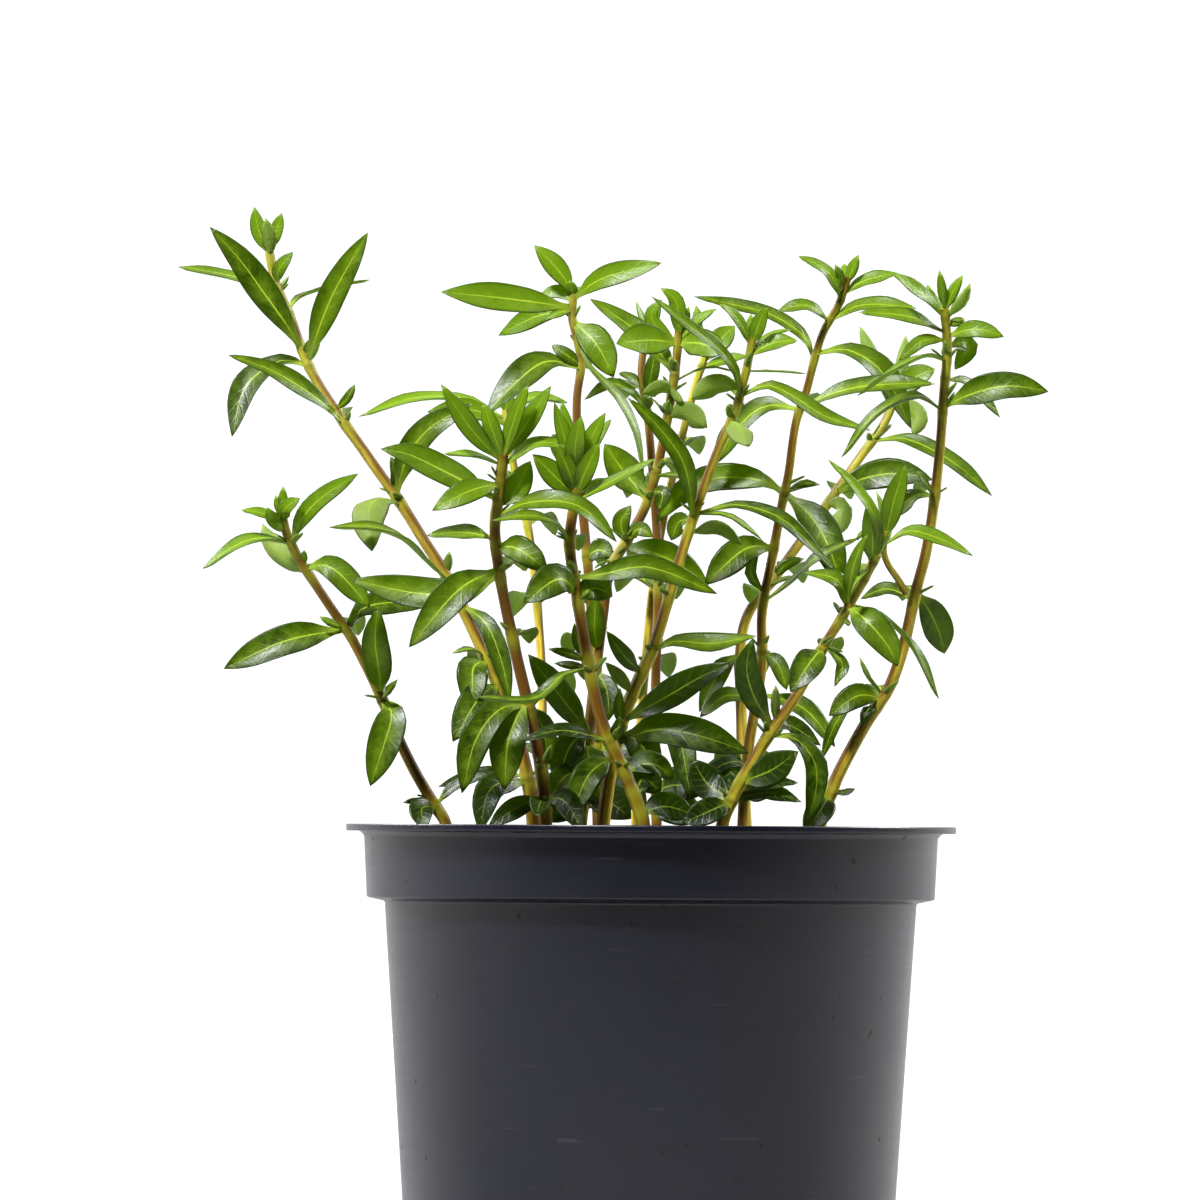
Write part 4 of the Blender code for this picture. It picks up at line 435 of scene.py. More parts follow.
# %% The table of young and small leaves
YOUNG_LEAVES = {
    "stem_left_low": [
        (12.8, 2.9, FRONT, [(-27.2, -6.4, 15.0), (-27.6, -7.2, 18.2), (-27.3, -7.4, 21.6)]),
        (30.6, 1.0, FRONT, [(-36.8, -6.6, 33.5)]),
        (30.4, 1.0, FRONT, [(-37.6, -6.4, 32.6)]),
        (29.6, 1.4, HALF, [(-38.6, -7.0, 30.6), (-41.0, -7.4, 31.1)]),
        (29.8, 1.6, FRONT, [(-36.6, -7.2, 31.2), (-35.1, -7.6, 32.3)]),
        (29.0, 1.6, FRONT, [(-38.0, -8.0, 30.4), (-38.4, -8.4, 31.4)]),
        (27.6, 2.0, FRONT, [(-35.3, -6.6, 29.6), (-33.6, -6.9, 31.8), (-29.3, -7.2, 34.8)]),
        (24.8, 2.6, BACK, [(-37.0, -3.0, 26.6), (-38.6, -0.5, 28.6), (-39.0, 0.5, 29.9)]),
        (19.6, 2.6, FRONT, [(-28.9, -4.2, 21.4), (-26.0, -3.2, 22.0), (-22.3, -2.5, 21.8)]),
        (19.4, 0.9, FRONT, [(-32.2, -6.2, 20.0), (-33.2, -6.6, 20.6)]),
        (25.6, 0.8, FRONT, [(-34.7, -6.6, 27.2)]),
        (12.6, 1.0, FRONT, [(-26.3, -6.8, 13.2), (-25.3, -7.2, 14.4)]),
        (12.4, 0.8, UP, [(-28.7, -5.6, 12.8)]),
        (1.8, 1.8, HALF, [(-19.8, -4.5, 3.5), (-16.0, -6.5, 5.1)]),
        (2.0, 1.0, HALF, [(-23.2, -4.0, 2.2), (-24.8, -4.4, 2.1)]),
        (2.6, 0.8, UP, [(-23.5, -3.4, 2.9)]),
        (1.6, 2.6, FRONT, [(-22.9, -6.0, 1.4), (-22.5, -7.6, -0.6)]),
        (19.2, 2.4, UP, [(-30.0, -1.2, 20.4), (-29.4, 3.2, 18.8)]),
    ],
    "stem_left_tall": [
        (57.4, 1.6, FRONT, [(-39.9, 7.4, 59.6), (-40.4, 7.0, 62.2)]),
        (57.6, 1.4, FRONT, [(-37.6, 7.0, 61.6)]),
        (57.0, 1.6, UP, [(-39.2, 5.6, 61.0)]),
        (57.2, 1.6, UP, [(-39.0, 10.6, 60.8)]),
        (54.4, 1.4, FRONT, [(-37.8, 6.4, 55.8), (-36.4, 5.8, 57.6)]),
        (53.6, 2.2, TILT, [(-42.3, 9.6, 55.0), (-48.2, 11.5, 56.2)]),
        (51.4, 1.6, UP, [(-36.0, 8.8, 53.0), (-33.0, 9.8, 54.1), (-28.6, 11, 55.0)]),
        (41.4, 1.0, FRONT, [(-30.9, 5.8, 42.6), (-30.0, 5.4, 44.2)]),
        (47.0, 0.8, FRONT, [(-34.6, 5.6, 48.8)]),
        (32.4, 3.5, TURNED, [(-27.6, 3.6, 32.5), (-28.5, 1.2, 31.2), (-28.1, -0.4, 27.2)]),
        (32.8, 0.9, UP, [(-27.6, 6, 33.8)]),
        (33.2, 1.4, FRONT, [(-25.7, 5.2, 35.2), (-26.4, 5.0, 36.9)]),
        (24.6, 1.0, UP, [(-20.4, 4.6, 27.4)]),
        (17.0, 1.2, TILT, [(-18.2, 3.6, 17.5), (-20.1, 3.4, 17.1)]),
        (16.6, 3.2, FRONT, [(-17.9, 2.6, 15.6), (-18.0, 1.6, 13.4), (-18.4, 1.2, 11.4)]),
        (22.2, 2.1, FRONT, [(-16.6, 3.0, 20.0), (-15.0, 2.2, 16.0), (-14.2, 1.8, 12.2)]),
        (14.0, 3.4, FRONT, [(-17.4, 1.4, 12.4), (-19.9, -0.6, 8.2)]),
        (4.4, 2.9, FRONT, [(-16.0, 0.8, 3.6), (-17.2, -0.8, -0.8)]),
        (4.6, 1.8, HALF, [(-16.8, 5.0, 5.0), (-21.4, 4.2, 3.7)]),
        (41.0, 2.2, UP, [(-31.4, 10.4, 41.8), (-31.6, 14.2, 40.4)]),
        (33.0, 2.4, UP, [(-26.4, 10.4, 34.6), (-26.6, 14.6, 33.6)]),
        (16.4, 2.4, UP, [(-17.2, 9.6, 17.4), (-18.2, 14, 15.4)]),
        (47.0, 2.2, UP, [(-34.8, 10.6, 48.2), (-34.6, 14.4, 46.8)]),
    ],
    "stem_front_dark": [
        (36.0, 1.8, HALF, [(-13.6, -16.6, 40.5), (-12.4, -17, 43.5)]),
        (36.0, 2.0, FRONT, [(-12.6, -15.8, 39.6), (-10.2, -15.4, 43.4)]),
        (36.0, 1.8, FRONT, [(-16.2, -16.4, 39.5), (-16.9, -16.2, 41.7)]),
        (35.8, 2.1, FRONT, [(-17.8, -17.4, 38.6), (-21.1, -18.7, 43.4)]),
        (35.4, 1.8, HALF, [(-11.8, -15.8, 37.6), (-7.9, -15.0, 37.3)]),
        (35.6, 1.4, TILT, [(-17.5, -16.6, 36.4), (-20.8, -17, 36.6)]),
        (33.8, 2.5, FRONT, [(-18.3, -18.2, 32.8), (-21.9, -19.4, 30.9)]),
        (31.6, 2.6, FRONT, [(-13.8, -14.4, 32.8), (-12.2, -14.4, 36.0)]),
        (27.6, 2.8, FRONT, [(-13.4, -16.6, 27.2), (-10.4, -17.8, 25.0)]),
        (28.4, 2.2, HALF, [(-18.8, -13.0, 28.8), (-22.5, -11.4, 28.6)]),
        (12.0, 3.2, FRONT, [(-15.0, -15.0, 11.4), (-17.4, -16.8, 8.4), (-18.8, -17.2, 3.0)]),
        (12.0, 2.4, FRONT, [(-11.0, -12.0, 10.0), (-10.2, -11.8, 6.0)]),
        (2.8, 2.2, FRONT, [(-13.4, -13.8, 1.6), (-16.2, -15, -0.3)]),
        (1.4, 2.2, HALF, [(-11.0, -15.6, 2.2), (-11.4, -18.4, 0.7)]),
        (2.6, 2.6, FRONT, [(-8.8, -14.4, 2.4), (-6.8, -16.0, -0.6)]),
        (5.2, 0.9, UP, [(-10.0, -13.6, 8.0)]),
        (25.0, 2.4, UP, [(-13.8, -10.6, 26.2), (-12.6, -7, 25.2)]),
        (18.4, 2.2, UP, [(-12.6, -11.0, 19.2), (-12.2, -7.4, 18.0)]),
        (11.4, 2.4, UP, [(-13.4, -9.6, 12.2), (-14.6, -6.4, 10.6)]),
    ],
    "stem_back_left": [
        (3.0, 3.6, FRONT, [(-9.0, 13.4, 3.4), (-6.4, 13.0, 1.2)]),
        (41.2, 2.2, TILT, [(-18.8, 22, 43.0), (-24.0, 21, 43.1), (-29.9, 20, 41.2)]),
        (40.6, 2.2, FRONT, [(-18.5, 20.6, 42.0), (-22.9, 19, 41.7)]),
        (41.4, 2.0, TILT, [(-12.2, 21.6, 43.2), (-8.6, 21, 42.8)]),
        (41.4, 1.4, FRONT, [(-14.6, 21.6, 44.8)]),
        (41.4, 1.2, UP, [(-15.6, 23.8, 44.4)]),
        (34.4, 2.6, UP, [(-14.6, 25.2, 35.8), (-14.8, 29.4, 33.6)]),
        (30.2, 2.4, UP, [(-11.2, 24.0, 31.4), (-9.8, 28, 29.4)]),
        (22.0, 2.8, UP, [(-13.0, 23.0, 23.4), (-14.2, 27.4, 21.0)]),
        (14.0, 2.6, UP, [(-9.4, 20.8, 15.2), (-8.2, 25.2, 12.6)]),
        (7.0, 2.6, UP, [(-13.6, 19.6, 8.0), (-15.6, 23, 5.4)]),
        (6.0, 3.0, FRONT, [(-9.2, 14.2, 6.4), (-7.6, 13.4, 2.6)]),
    ],
    "stem_centre_tall": [
        (2.0, 3.8, FRONT, [(-6.8, 7.4, 3.2), (-9.6, 6.8, 5.6)]),
        (3.4, 3.8, FRONT, [(-3.4, 7.6, 3.6), (-0.4, 7.2, 1.8)]),
        (53.4, 2.2, FRONT, [(-9.4, 11.4, 55.6), (-12.1, 11, 58.5)]),
        (53.2, 1.2, FRONT, [(-8.5, 11.0, 55.0)]),
        (53.2, 1.1, FRONT, [(-7.1, 11.8, 54.3)]),
        (52.8, 1.5, FRONT, [(-9.6, 12.6, 53.8), (-11.6, 12.8, 53.4)]),
        (52.0, 2.2, FRONT, [(-11.8, 13.2, 51.3), (-15.7, 14.2, 49.4)]),
        (52.0, 1.2, HALF, [(-9.4, 11.0, 51.6), (-11.0, 10.6, 50.9)]),
        (50.8, 3.3, FRONT, [(-5.9, 10.4, 48.6), (-4.0, 10.0, 45.1)]),
        (46.2, 1.5, FRONT, [(-8.6, 10.6, 47.2), (-10.3, 10.8, 48.4)]),
        (46.0, 2.2, UP, [(-7.2, 15.4, 47.4), (-6.6, 19.2, 46.2)]),
        (38.0, 2.6, UP, [(-8.8, 14.6, 39.0), (-9.8, 18.6, 37.0)]),
        (27.2, 2.4, FRONT, [(-5.2, 8.6, 27.6), (-3.9, 8.0, 26.8)]),
        (27.0, 2.6, UP, [(-5.8, 14.2, 28.2), (-5.0, 18.4, 26.0)]),
        (18.0, 2.6, UP, [(-7.6, 13.4, 19.0), (-8.6, 17.4, 16.8)]),
        (8.0, 2.6, UP, [(-4.6, 12.6, 9.0), (-4.2, 16.2, 6.8)]),
        (7.6, 3.2, FRONT, [(-3.2, 7.6, 7.4), (-1.6, 6.6, 3.4)]),
    ],
    "stem_front_centre": [
        (1.2, 3.0, FRONT, [(1.6, -13.4, 1.8), (4.4, -12.8, 0.9)]),
        (5.4, 2.8, FRONT, [(0.2, -12.8, 6.0), (2.2, -12.2, 4.6)]),
        (32.4, 2.4, FRONT, [(-9.6, -16.8, 34.2), (-12.0, -17.4, 36.6)]),
        (32.4, 1.9, FRONT, [(-8.4, -17.0, 34.8), (-9.7, -17.4, 37.8)]),
        (32.4, 1.9, FRONT, [(-6.8, -17.2, 34.8), (-5.4, -17.6, 37.8)]),
        (33.8, 1.8, FRONT, [(-6.6, -16.4, 37.4), (-4.8, -16.8, 40.8)]),
        (33.8, 1.6, FRONT, [(-8.6, -16.2, 37.4), (-9.9, -16.2, 41.8)]),
        (34.0, 2.1, FRONT, [(-7.8, -17.2, 37.2), (-7.2, -17.8, 40.4)]),
        (33.8, 1.6, FRONT, [(-6.2, -15.2, 37.6), (-4.2, -14.8, 40.2)]),
        (34.0, 1.4, FRONT, [(-8.4, -15.0, 38.4), (-9.2, -14.6, 42.1)]),
        (31.8, 1.4, HALF, [(-4.5, -17.4, 33.7), (0.3, -17.2, 36.3)]),
        (32.2, 1.2, HALF, [(-6.0, -14.8, 33.6), (-3.8, -14.4, 34.3)]),
        (28.0, 1.6, HALF, [(-9.4, -18.4, 29.6), (-12.4, -21.0, 30.4), (-16.1, -21.4, 29.9)]),
        (23.2, 3.4, FRONT, [(-9.4, -19.0, 24.2), (-12.8, -21.0, 21.8)]),
        (22.6, 2.8, FRONT, [(-5.8, -16.4, 23.4), (-4.0, -16.2, 22.6)]),
        (8.2, 2.0, HALF, [(-9.3, -18.8, 9.2), (-12.9, -19.8, 8.2)]),
        (16.3, 1.0, FRONT, [(-8.4, -17.2, 16.9), (-10.4, -17.2, 17.4)]),
        (15.6, 0.9, FRONT, [(-8.4, -15.4, 15.8), (-9.8, -15.2, 16.0)]),
        (16.2, 1.2, FRONT, [(-7.4, -15.0, 18.0), (-7.8, -14.8, 20.0)]),
        (8.4, 1.4, FRONT, [(-3.4, -16.8, 9.4), (-3.2, -17.0, 10.8)]),
        (3.0, 3.0, FRONT, [(-0.8, -14.4, 4.6), (0.9, -14.0, 3.2)]),
        (22.0, 2.2, UP, [(-7.2, -13, 23.2), (-6.6, -9.4, 22.0)]),
        (27.8, 2.2, UP, [(-7.8, -13, 28.6), (-7.4, -9.6, 27.2)]),
        (14.6, 2.4, UP, [(-6.4, -12.6, 15.6), (-6.8, -9.4, 14.4)]),
    ],
    "stem_back_red": [
        (3.4, 3.8, FRONT, [(2.8, 13.2, 4.0), (5.6, 12.6, 3.4)]),
        (1.6, 3.6, FRONT, [(2.6, 12.8, 1.6), (5.6, 12.2, 0.6)]),
        (49.6, 1.4, FRONT, [(0.6, 19.6, 53.4)]),
        (49.6, 1.2, UP, [(-1.8, 20, 53.2)]),
        (43.2, 1.6, FRONT, [(-0.3, 18.2, 45.2), (0.3, 18.0, 48.4)]),
        (42.0, 1.6, HALF, [(-2.2, 18.0, 43.8), (-4.2, 17.2, 44.6), (-7.0, 16.8, 43.0)]),
        (44.4, 1.4, HALF, [(-2.2, 18.4, 45.2), (-3.5, 18.0, 45.8)]),
        (44.0, 2.6, UP, [(-2.2, 22.8, 45.0), (-2.8, 27, 43.4)]),
        (34.0, 2.6, UP, [(-1.6, 21.4, 35.2), (-2.6, 25, 33.2)]),
        (24.0, 2.6, UP, [(-2.0, 19.8, 25.2), (-3.6, 22.4, 23.6)]),
        (10.6, 2.8, FRONT, [(2.6, 11.4, 9.4), (4.0, 9, 2.6)]),
        (6.0, 3.0, FRONT, [(-1.2, 14.0, 5.8), (-3.4, 13.4, 2.0)]),
    ],
    "stem_middle": [
        (2.6, 3.6, FRONT, [(-4.8, -2.6, 2.6), (-2.0, -3.4, 0.6)]),
        (3.8, 3.8, FRONT, [(-4.4, 0.6, 4.4), (-1.4, 1.0, 5.8)]),
        (1.4, 3.2, FRONT, [(-8.4, -2.8, 1.9), (-10.0, -3.2, 0.2)]),
        (48.6, 1.7, FRONT, [(2.4, 2.4, 51.2), (2.0, 2.2, 52.8), (0.6, 2.0, 53.8)]),
        (48.4, 1.5, FRONT, [(0.2, 2.8, 50.0), (-0.3, 2.8, 51.2), (0.8, 2.8, 52.7)]),
        (48.6, 1.3, FRONT, [(3.0, 3.2, 50.6), (3.5, 3.0, 52.0)]),
        (48.4, 1.3, FRONT, [(4.3, 3.8, 50.4), (4.2, 4.2, 52.2)]),
        (48.4, 1.3, HALF, [(4.2, 2.6, 50.4), (6.3, 2.6, 51.8)]),
        (48.2, 3.2, FRONT, [(4.6, 1.4, 48.2), (7.2, -0.2, 47.2)]),
        (43.4, 1.9, BACK, [(0.6, 0.4, 43.6), (-1.2, -0.4, 43.2)]),
        (43.2, 1.4, BACK, [(2.2, 0.6, 42.8), (3.0, 0.2, 42.3)]),
        (40.8, 2.6, BACK, [(3.2, 0.6, 41.2), (5.4, -0.2, 39.8)]),
        (44.2, 1.0, UP, [(3.8, 3.0, 45.4), (6.0, 2.0, 45.9), (8.4, 0.8, 45.3)]),
        (35.4, 1.2, UP, [(1.6, 1.4, 36.4), (2.2, 1.2, 35.8)]),
        (35.2, 1.4, TILT, [(1.6, 0.6, 35.0), (4.6, -0.4, 34.8)]),
        (33.4, 1.6, FRONT, [(0.9, 0.8, 33.2), (0.6, 0.4, 31.4)]),
        (27.7, 3.2, FRONT, [(-0.4, 3.4, 27.4), (2.5, 4.4, 26.2), (5.7, 5, 23.9)]),
        (28.2, 1.8, FRONT, [(-3.2, 0.9, 30.2), (-2.2, 0.9, 32.0)]),
        (28.6, 1.6, FRONT, [(-1.4, 0.4, 29.6), (0.0, 0, 28.8)]),
        (26.4, 1.0, UP, [(-5.0, 0.6, 26.2), (-5.9, 0.4, 25.6)]),
        (9.5, 3.0, FRONT, [(-9.2, -3.6, 12.8), (-12.4, -5.6, 17.0)]),
        (17.0, 2.2, FRONT, [(-5.8, -1.6, 19.6), (-5.6, -2.6, 23.0)]),
        (15.6, 2.4, FRONT, [(-4.5, -1.6, 13.4), (-4.3, -2.6, 10.4)]),
        (9.0, 3.2, FRONT, [(-8.0, -2.2, 8.0), (-9.4, -2.6, 4.2)]),
        (8.6, 3.4, FRONT, [(-6.2, -3.0, 6.4), (-4.6, -3.4, 2.2)]),
        (6.0, 2.8, FRONT, [(-8.8, -3.6, 4.6), (-10.8, -5, 0.9)]),
        (35.4, 2.2, UP, [(1.4, 5.6, 36.8), (2.2, 9.4, 35.4)]),
    ],
    "stem_back_yellow": [
        (47.0, 2.4, FRONT, [(6.8, 25.4, 49.3), (8.3, 26, 50.9)]),
        (46.6, 1.6, HALF, [(8.0, 24.8, 47.4), (9.6, 24.4, 47.8)]),
        (47.4, 1.2, FRONT, [(4.6, 24.4, 50.0), (4.5, 24.6, 52.2)]),
        (47.4, 1.6, UP, [(4.8, 27.4, 49.6), (4.4, 29.6, 49.4)]),
        (38.0, 2.6, UP, [(3.8, 26.6, 39.4), (4.8, 30, 37.8)]),
        (27.0, 2.8, UP, [(-0.8, 25.6, 28.2), (-2.0, 29.2, 26.4)]),
        (16.0, 2.8, UP, [(0.8, 24.4, 17.2), (1.8, 28.2, 15.0)]),
        (6.0, 2.6, UP, [(-2.6, 23.2, 7.0), (-4.0, 26, 4.4)]),
    ],
    "stem_centre_leaning": [
        (47.6, 1.4, HALF, [(8.2, -3.4, 50.4), (6.4, -3.8, 52.0)]),
        (47.8, 1.2, FRONT, [(9.6, -1.6, 51.0)]),
        (47.8, 1.6, FRONT, [(10.6, -3.2, 50.4), (11.3, -3.6, 51.6)]),
        (46.8, 2.2, HALF, [(12.0, -3.2, 48.0), (14.3, -3.4, 48.3)]),
        (47.4, 1.0, TILT, [(11.8, -1.4, 49.0), (13.8, -1.0, 49.5)]),
        (45.4, 1.2, UP, [(12.4, -3.6, 45.2), (15.3, -4.6, 45.0)]),
        (43.6, 2.4, BACK, [(6.2, -3.8, 43.8), (3.7, -4.4, 42.4)]),
        (40.3, 2.6, TURNED, [(8.4, -6.2, 39.6), (9.4, -9, 37.6)]),
        (31.0, 0.9, HALF, [(7.2, -3.4, 31.0), (9.0, -3.0, 30.0), (11.0, -2.8, 28.4)]),
        (29.4, 1.6, BACK, [(6.6, -2.6, 29.6), (8.9, -2.2, 28.0)]),
        (30.6, 2.0, FRONT, [(2.6, -3.4, 30.2), (1.8, -3.2, 28.4)]),
        (17.0, 2.6, HALF, [(2.0, -6.8, 18.2), (6.0, -7.2, 18.0), (10.4, -7.4, 18.9)]),
        (15.2, 1.8, FRONT, [(-3.0, -8.4, 17.0), (-4.6, -9.2, 19.3)]),
        (13.2, 1.4, BACK, [(-3.4, -8.0, 14.8), (-4.7, -8.4, 16.2)]),
        (9.8, 1.2, FRONT, [(-3.3, -8.6, 11.8), (-3.2, -8.8, 13.7)]),
        (9.0, 3.2, FRONT, [(-1.4, -8.0, 8.4), (0.4, -8.6, 4.8)]),
        (6.6, 3.0, FRONT, [(-6.2, -9.4, 5.0), (-8.0, -10.6, 0.9)]),
        (22.8, 2.2, UP, [(2.0, -2.6, 23.8), (2.4, 0.6, 22.6)]),
        (42.6, 2.2, UP, [(7.8, 0.4, 44.2), (6.8, 3.6, 44.4)]),
        (12.8, 2.4, UP, [(-1.8, -2.6, 14.0), (-1.2, 0.8, 12.6)]),
    ],
    "stem_right_tall": [
        (3.0, 2.6, FRONT, [(11.0, 2.6, 3.6), (13.2, 2.0, 3.9)]),
        (5.0, 2.4, FRONT, [(7.4, 2.6, 5.8), (5.0, 2.2, 5.0)]),
        (52.6, 1.6, HALF, [(18.2, 1.2, 54.0), (17.2, 1.0, 55.4), (14.3, 0.6, 57.0)]),
        (53.8, 0.9, FRONT, [(18.4, 1.2, 55.4), (18.0, 0.8, 56.2)]),
        (54.0, 1.2, FRONT, [(20.4, 2.2, 57.2)]),
        (53.2, 1.8, HALF, [(20.8, 2.2, 54.4), (24.4, 2.4, 55.4)]),
        (54.0, 1.0, UP, [(19.0, 4.2, 56.4)]),
        (50.4, 2.2, HALF, [(20.6, 1.4, 52.0), (26.3, 0.2, 51.8)]),
        (50.6, 1.8, HALF, [(16.4, 1.6, 51.4), (15.0, 1.2, 52.0), (12.2, 1.0, 51.4)]),
        (33.4, 3.0, FRONT, [
            (11.4, 5.0, 34.4), (8.6, 6.2, 34.9), (5.2, 6.8, 34.6), (2.4, 7.0, 32.9), (0.3, 7.0, 30.3),
        ]),
        (33.2, 1.2, HALF, [(15.2, 3.2, 34.2), (16.8, 3.6, 34.2)]),
        (34.0, 0.9, UP, [(15.3, 2.2, 35.1)]),
        (27.9, 3.2, FRONT, [(9.6, 1.6, 27.8), (7.2, 0.4, 26.0), (5.2, -0.2, 24.0)]),
        (23.4, 1.2, FRONT, [(9.8, 2.8, 25.2), (10.6, 2.2, 27.9)]),
        (22.6, 1.8, HALF, [(14.0, 0.6, 24.6), (16.5, -2.6, 26.8), (20.8, -3.6, 28.9)]),
        (24.0, 0.9, TILT, [(13.2, 3.4, 24.7), (14.8, 3.0, 25.0)]),
        (13.6, 2.4, HALF, [(15.2, 2.4, 11.7), (18.4, 1.4, 7.9)]),
        (17.4, 1.8, FRONT, [(12.6, 2.4, 16.2), (13.5, 1.8, 13.6)]),
        (12.6, 2.2, HALF, [(7.4, 2.2, 12.9), (4.8, 0.8, 10.8)]),
        (6.4, 2.0, HALF, [(7.6, 1.6, 6.2), (4.8, 0.4, 4.6)]),
        (41.8, 2.2, UP, [(15.4, 5.8, 43.2), (16.2, 9.2, 42.2)]),
        (23.0, 2.4, UP, [(10.4, 6.6, 24.0), (9.8, 9.6, 22.4)]),
        (6.0, 2.4, UP, [(10.6, 7, 7.2), (11.6, 10, 5.2)]),
    ],
    "stem_back_right": [
        (44.0, 1.6, BACK, [(22.6, 16.2, 46.6), (20.9, 16.6, 50.8)]),
        (44.2, 1.4, BACK, [(25.4, 16.2, 47.6), (25.6, 16.2, 49.9)]),
        (43.8, 2.6, FRONT, [(26.4, 15.6, 45.4), (28.6, 15.2, 46.4)]),
        (42.6, 2.0, BACK, [(25.6, 15.2, 42.6), (26.9, 14.6, 41.2), (26.3, 14.2, 39.5)]),
        (44.0, 1.6, UP, [(24.8, 18.6, 46.4), (25.2, 20.4, 45.8)]),
        (33.8, 3.2, FRONT, [(21.0, 12.4, 35.0), (24.6, 11.4, 35.6), (28.3, 10.6, 35.0)]),
        (32.8, 2.4, BACK, [(18.9, 12.0, 32.0), (18.9, 11.4, 30.6), (18.4, 10.8, 29.3)]),
        (38.8, 1.4, UP, [(24.2, 16.4, 40.8)]),
        (33.6, 2.6, UP, [(19.0, 18, 34.6), (20.2, 22, 33.2)]),
        (24.8, 1.2, FRONT, [(13.6, 12.0, 26.4), (15.4, 11.6, 27.0)]),
        (25.2, 2.6, UP, [(14.2, 17.2, 26.4), (15.4, 21.2, 24.6)]),
        (17.0, 2.2, FRONT, [(7.2, 11.8, 16.0), (4.8, 10.4, 11.4)]),
        (16.0, 2.8, UP, [(10.4, 17, 17.4), (11.4, 21, 15.2)]),
        (6.4, 2.6, UP, [(8.0, 16.4, 7.6), (7.0, 20, 5.2)]),
        (7.0, 3.2, FRONT, [(9.2, 10.6, 6.6), (11.4, 9.6, 3.6)]),
    ],
    "stem_right": [
        (50.6, 1.9, HALF, [(27.0, -7.4, 52.4), (23.4, -8, 55.0)]),
        (51.0, 1.2, FRONT, [(27.4, -5.6, 52.6), (27.1, -5.4, 53.9)]),
        (51.2, 1.0, FRONT, [(28.2, -7.2, 55.3)]),
        (51.0, 1.2, FRONT, [(29.7, -6.6, 53.3), (30.6, -6.4, 54.8)]),
        (50.6, 1.2, BACK, [(30.6, -7.4, 52.3), (31.3, -7.6, 54.0)]),
        (49.6, 1.0, FRONT, [(30.9, -6.0, 50.5)]),
        (49.2, 2.0, HALF, [(25.4, -7.4, 50.5), (20.2, -8.2, 51.0)]),
        (48.8, 1.9, FRONT, [(31.8, -7.2, 49.4), (34.7, -7.6, 48.7)]),
        (47.8, 2.0, FRONT, [(30.9, -5.0, 48.2), (31.2, -4.4, 47.6), (29.9, -4, 45.5)]),
        (48.4, 1.4, FRONT, [(26.6, -7.8, 48.2), (24.2, -8.6, 46.2)]),
        (46.4, 2.0, UP, [(27.2, -8.2, 46.8), (24.4, -10.4, 45.6), (20.0, -11.2, 42.6)]),
        (44.6, 1.6, HALF, [(31.0, -4.6, 44.3), (32.6, -4, 42.9), (34.5, -3.4, 40.8)]),
        (42.0, 0.9, UP, [(30.2, -6.6, 44.4)]),
        (32.8, 2.4, HALF, [(26.2, -5, 32.9), (24.4, -4.8, 31.6), (22.2, -4.6, 29.8)]),
        (32.8, 1.4, HALF, [(26.8, -7.4, 34.4), (26.2, -8.0, 35.4)]),
        (22.6, 1.9, HALF, [(23.4, -3.4, 23.6), (20.7, -2.6, 22.7)]),
        (23.0, 0.9, UP, [(28.1, -5.6, 24.1)]),
        (13.0, 1.0, UP, [(21.4, -4.8, 15.0), (20.6, -5.2, 17.0)]),
        (12.8, 1.2, UP, [(24.6, -5.6, 14.6)]),
        (12.8, 2.6, FRONT, [(20.6, -5.2, 13.0), (17.6, -6.4, 11.0)]),
        (12.0, 1.2, HALF, [(21.4, -5.6, 11.4), (20.9, -6.0, 9.9)]),
        (12.2, 1.4, HALF, [(20.4, -3, 12.6), (18.6, -2.6, 10.6), (16.9, -2.2, 6.5)]),
        (3.4, 1.0, HALF, [(19.3, -3.6, 3.3), (20.4, -3.8, 3.8)]),
        (3.2, 2.8, FRONT, [(16.9, -5.4, 1.6), (15.2, -6.6, -0.8)]),
        (33.0, 2.4, UP, [(27.4, -2.6, 34.0), (26.4, 1.2, 33.2)]),
        (12.8, 2.6, UP, [(22.6, -0.6, 14.0), (21.8, 2.8, 12.4)]),
        (22.8, 2.4, UP, [(25.4, -1.0, 24.0), (25.0, 3.0, 22.6)]),
    ],
    "stem_right_side_shoot": [
        (28.2, 2.2, FRONT, [(23.8, -9.6, 32.0), (25.0, -10.4, 36.0)]),
        (28.6, 1.2, UP, [(22.4, -8.6, 32.4), (22.1, -8.6, 33.4)]),
        (28.0, 1.9, HALF, [(25.4, -9.8, 29.3), (28.2, -10.3, 28.6), (31.8, -10.6, 26.9)]),
        (28.0, 1.6, UP, [(21.2, -9, 29.2), (20.0, -9.4, 28.4)]),
    ],
    "stem_front_right": [
        (3.4, 1.9, HALF, [(11.6, -12.0, 4.1), (14.6, -12.4, 4.3)]),
        (25.8, 1.2, UP, [(20.4, -18, 24.6), (19.4, -18.6, 22.6)]),
        (21.6, 2.0, HALF, [(18.2, -16.6, 24.2), (14.9, -16, 25.1)]),
        (20.6, 0.9, UP, [(19.4, -16.6, 19.8)]),
        (17.8, 1.4, TILT, [(18.8, -16, 15.8), (18.0, -16.6, 13.8)]),
        (18.0, 0.9, UP, [(18.9, -15.8, 17.2)]),
        (25.8, 2.2, FRONT, [(21.6, -17.8, 29.0), (21.0, -18.2, 31.8)]),
        (21.6, 1.6, HALF, [(19.6, -17.2, 24.6), (20.2, -17.8, 26.8), (21.2, -18.4, 29.0)]),
        (24.4, 1.4, BACK, [(20.9, -15.6, 25.4), (20.2, -15.4, 24.9)]),
        (9.6, 2.7, FRONT, [(10.1, -15.6, 12.6), (9.3, -16.4, 15.6), (9.9, -17, 18.6)]),
        (10.0, 1.0, UP, [(12.2, -15.6, 14.0)]),
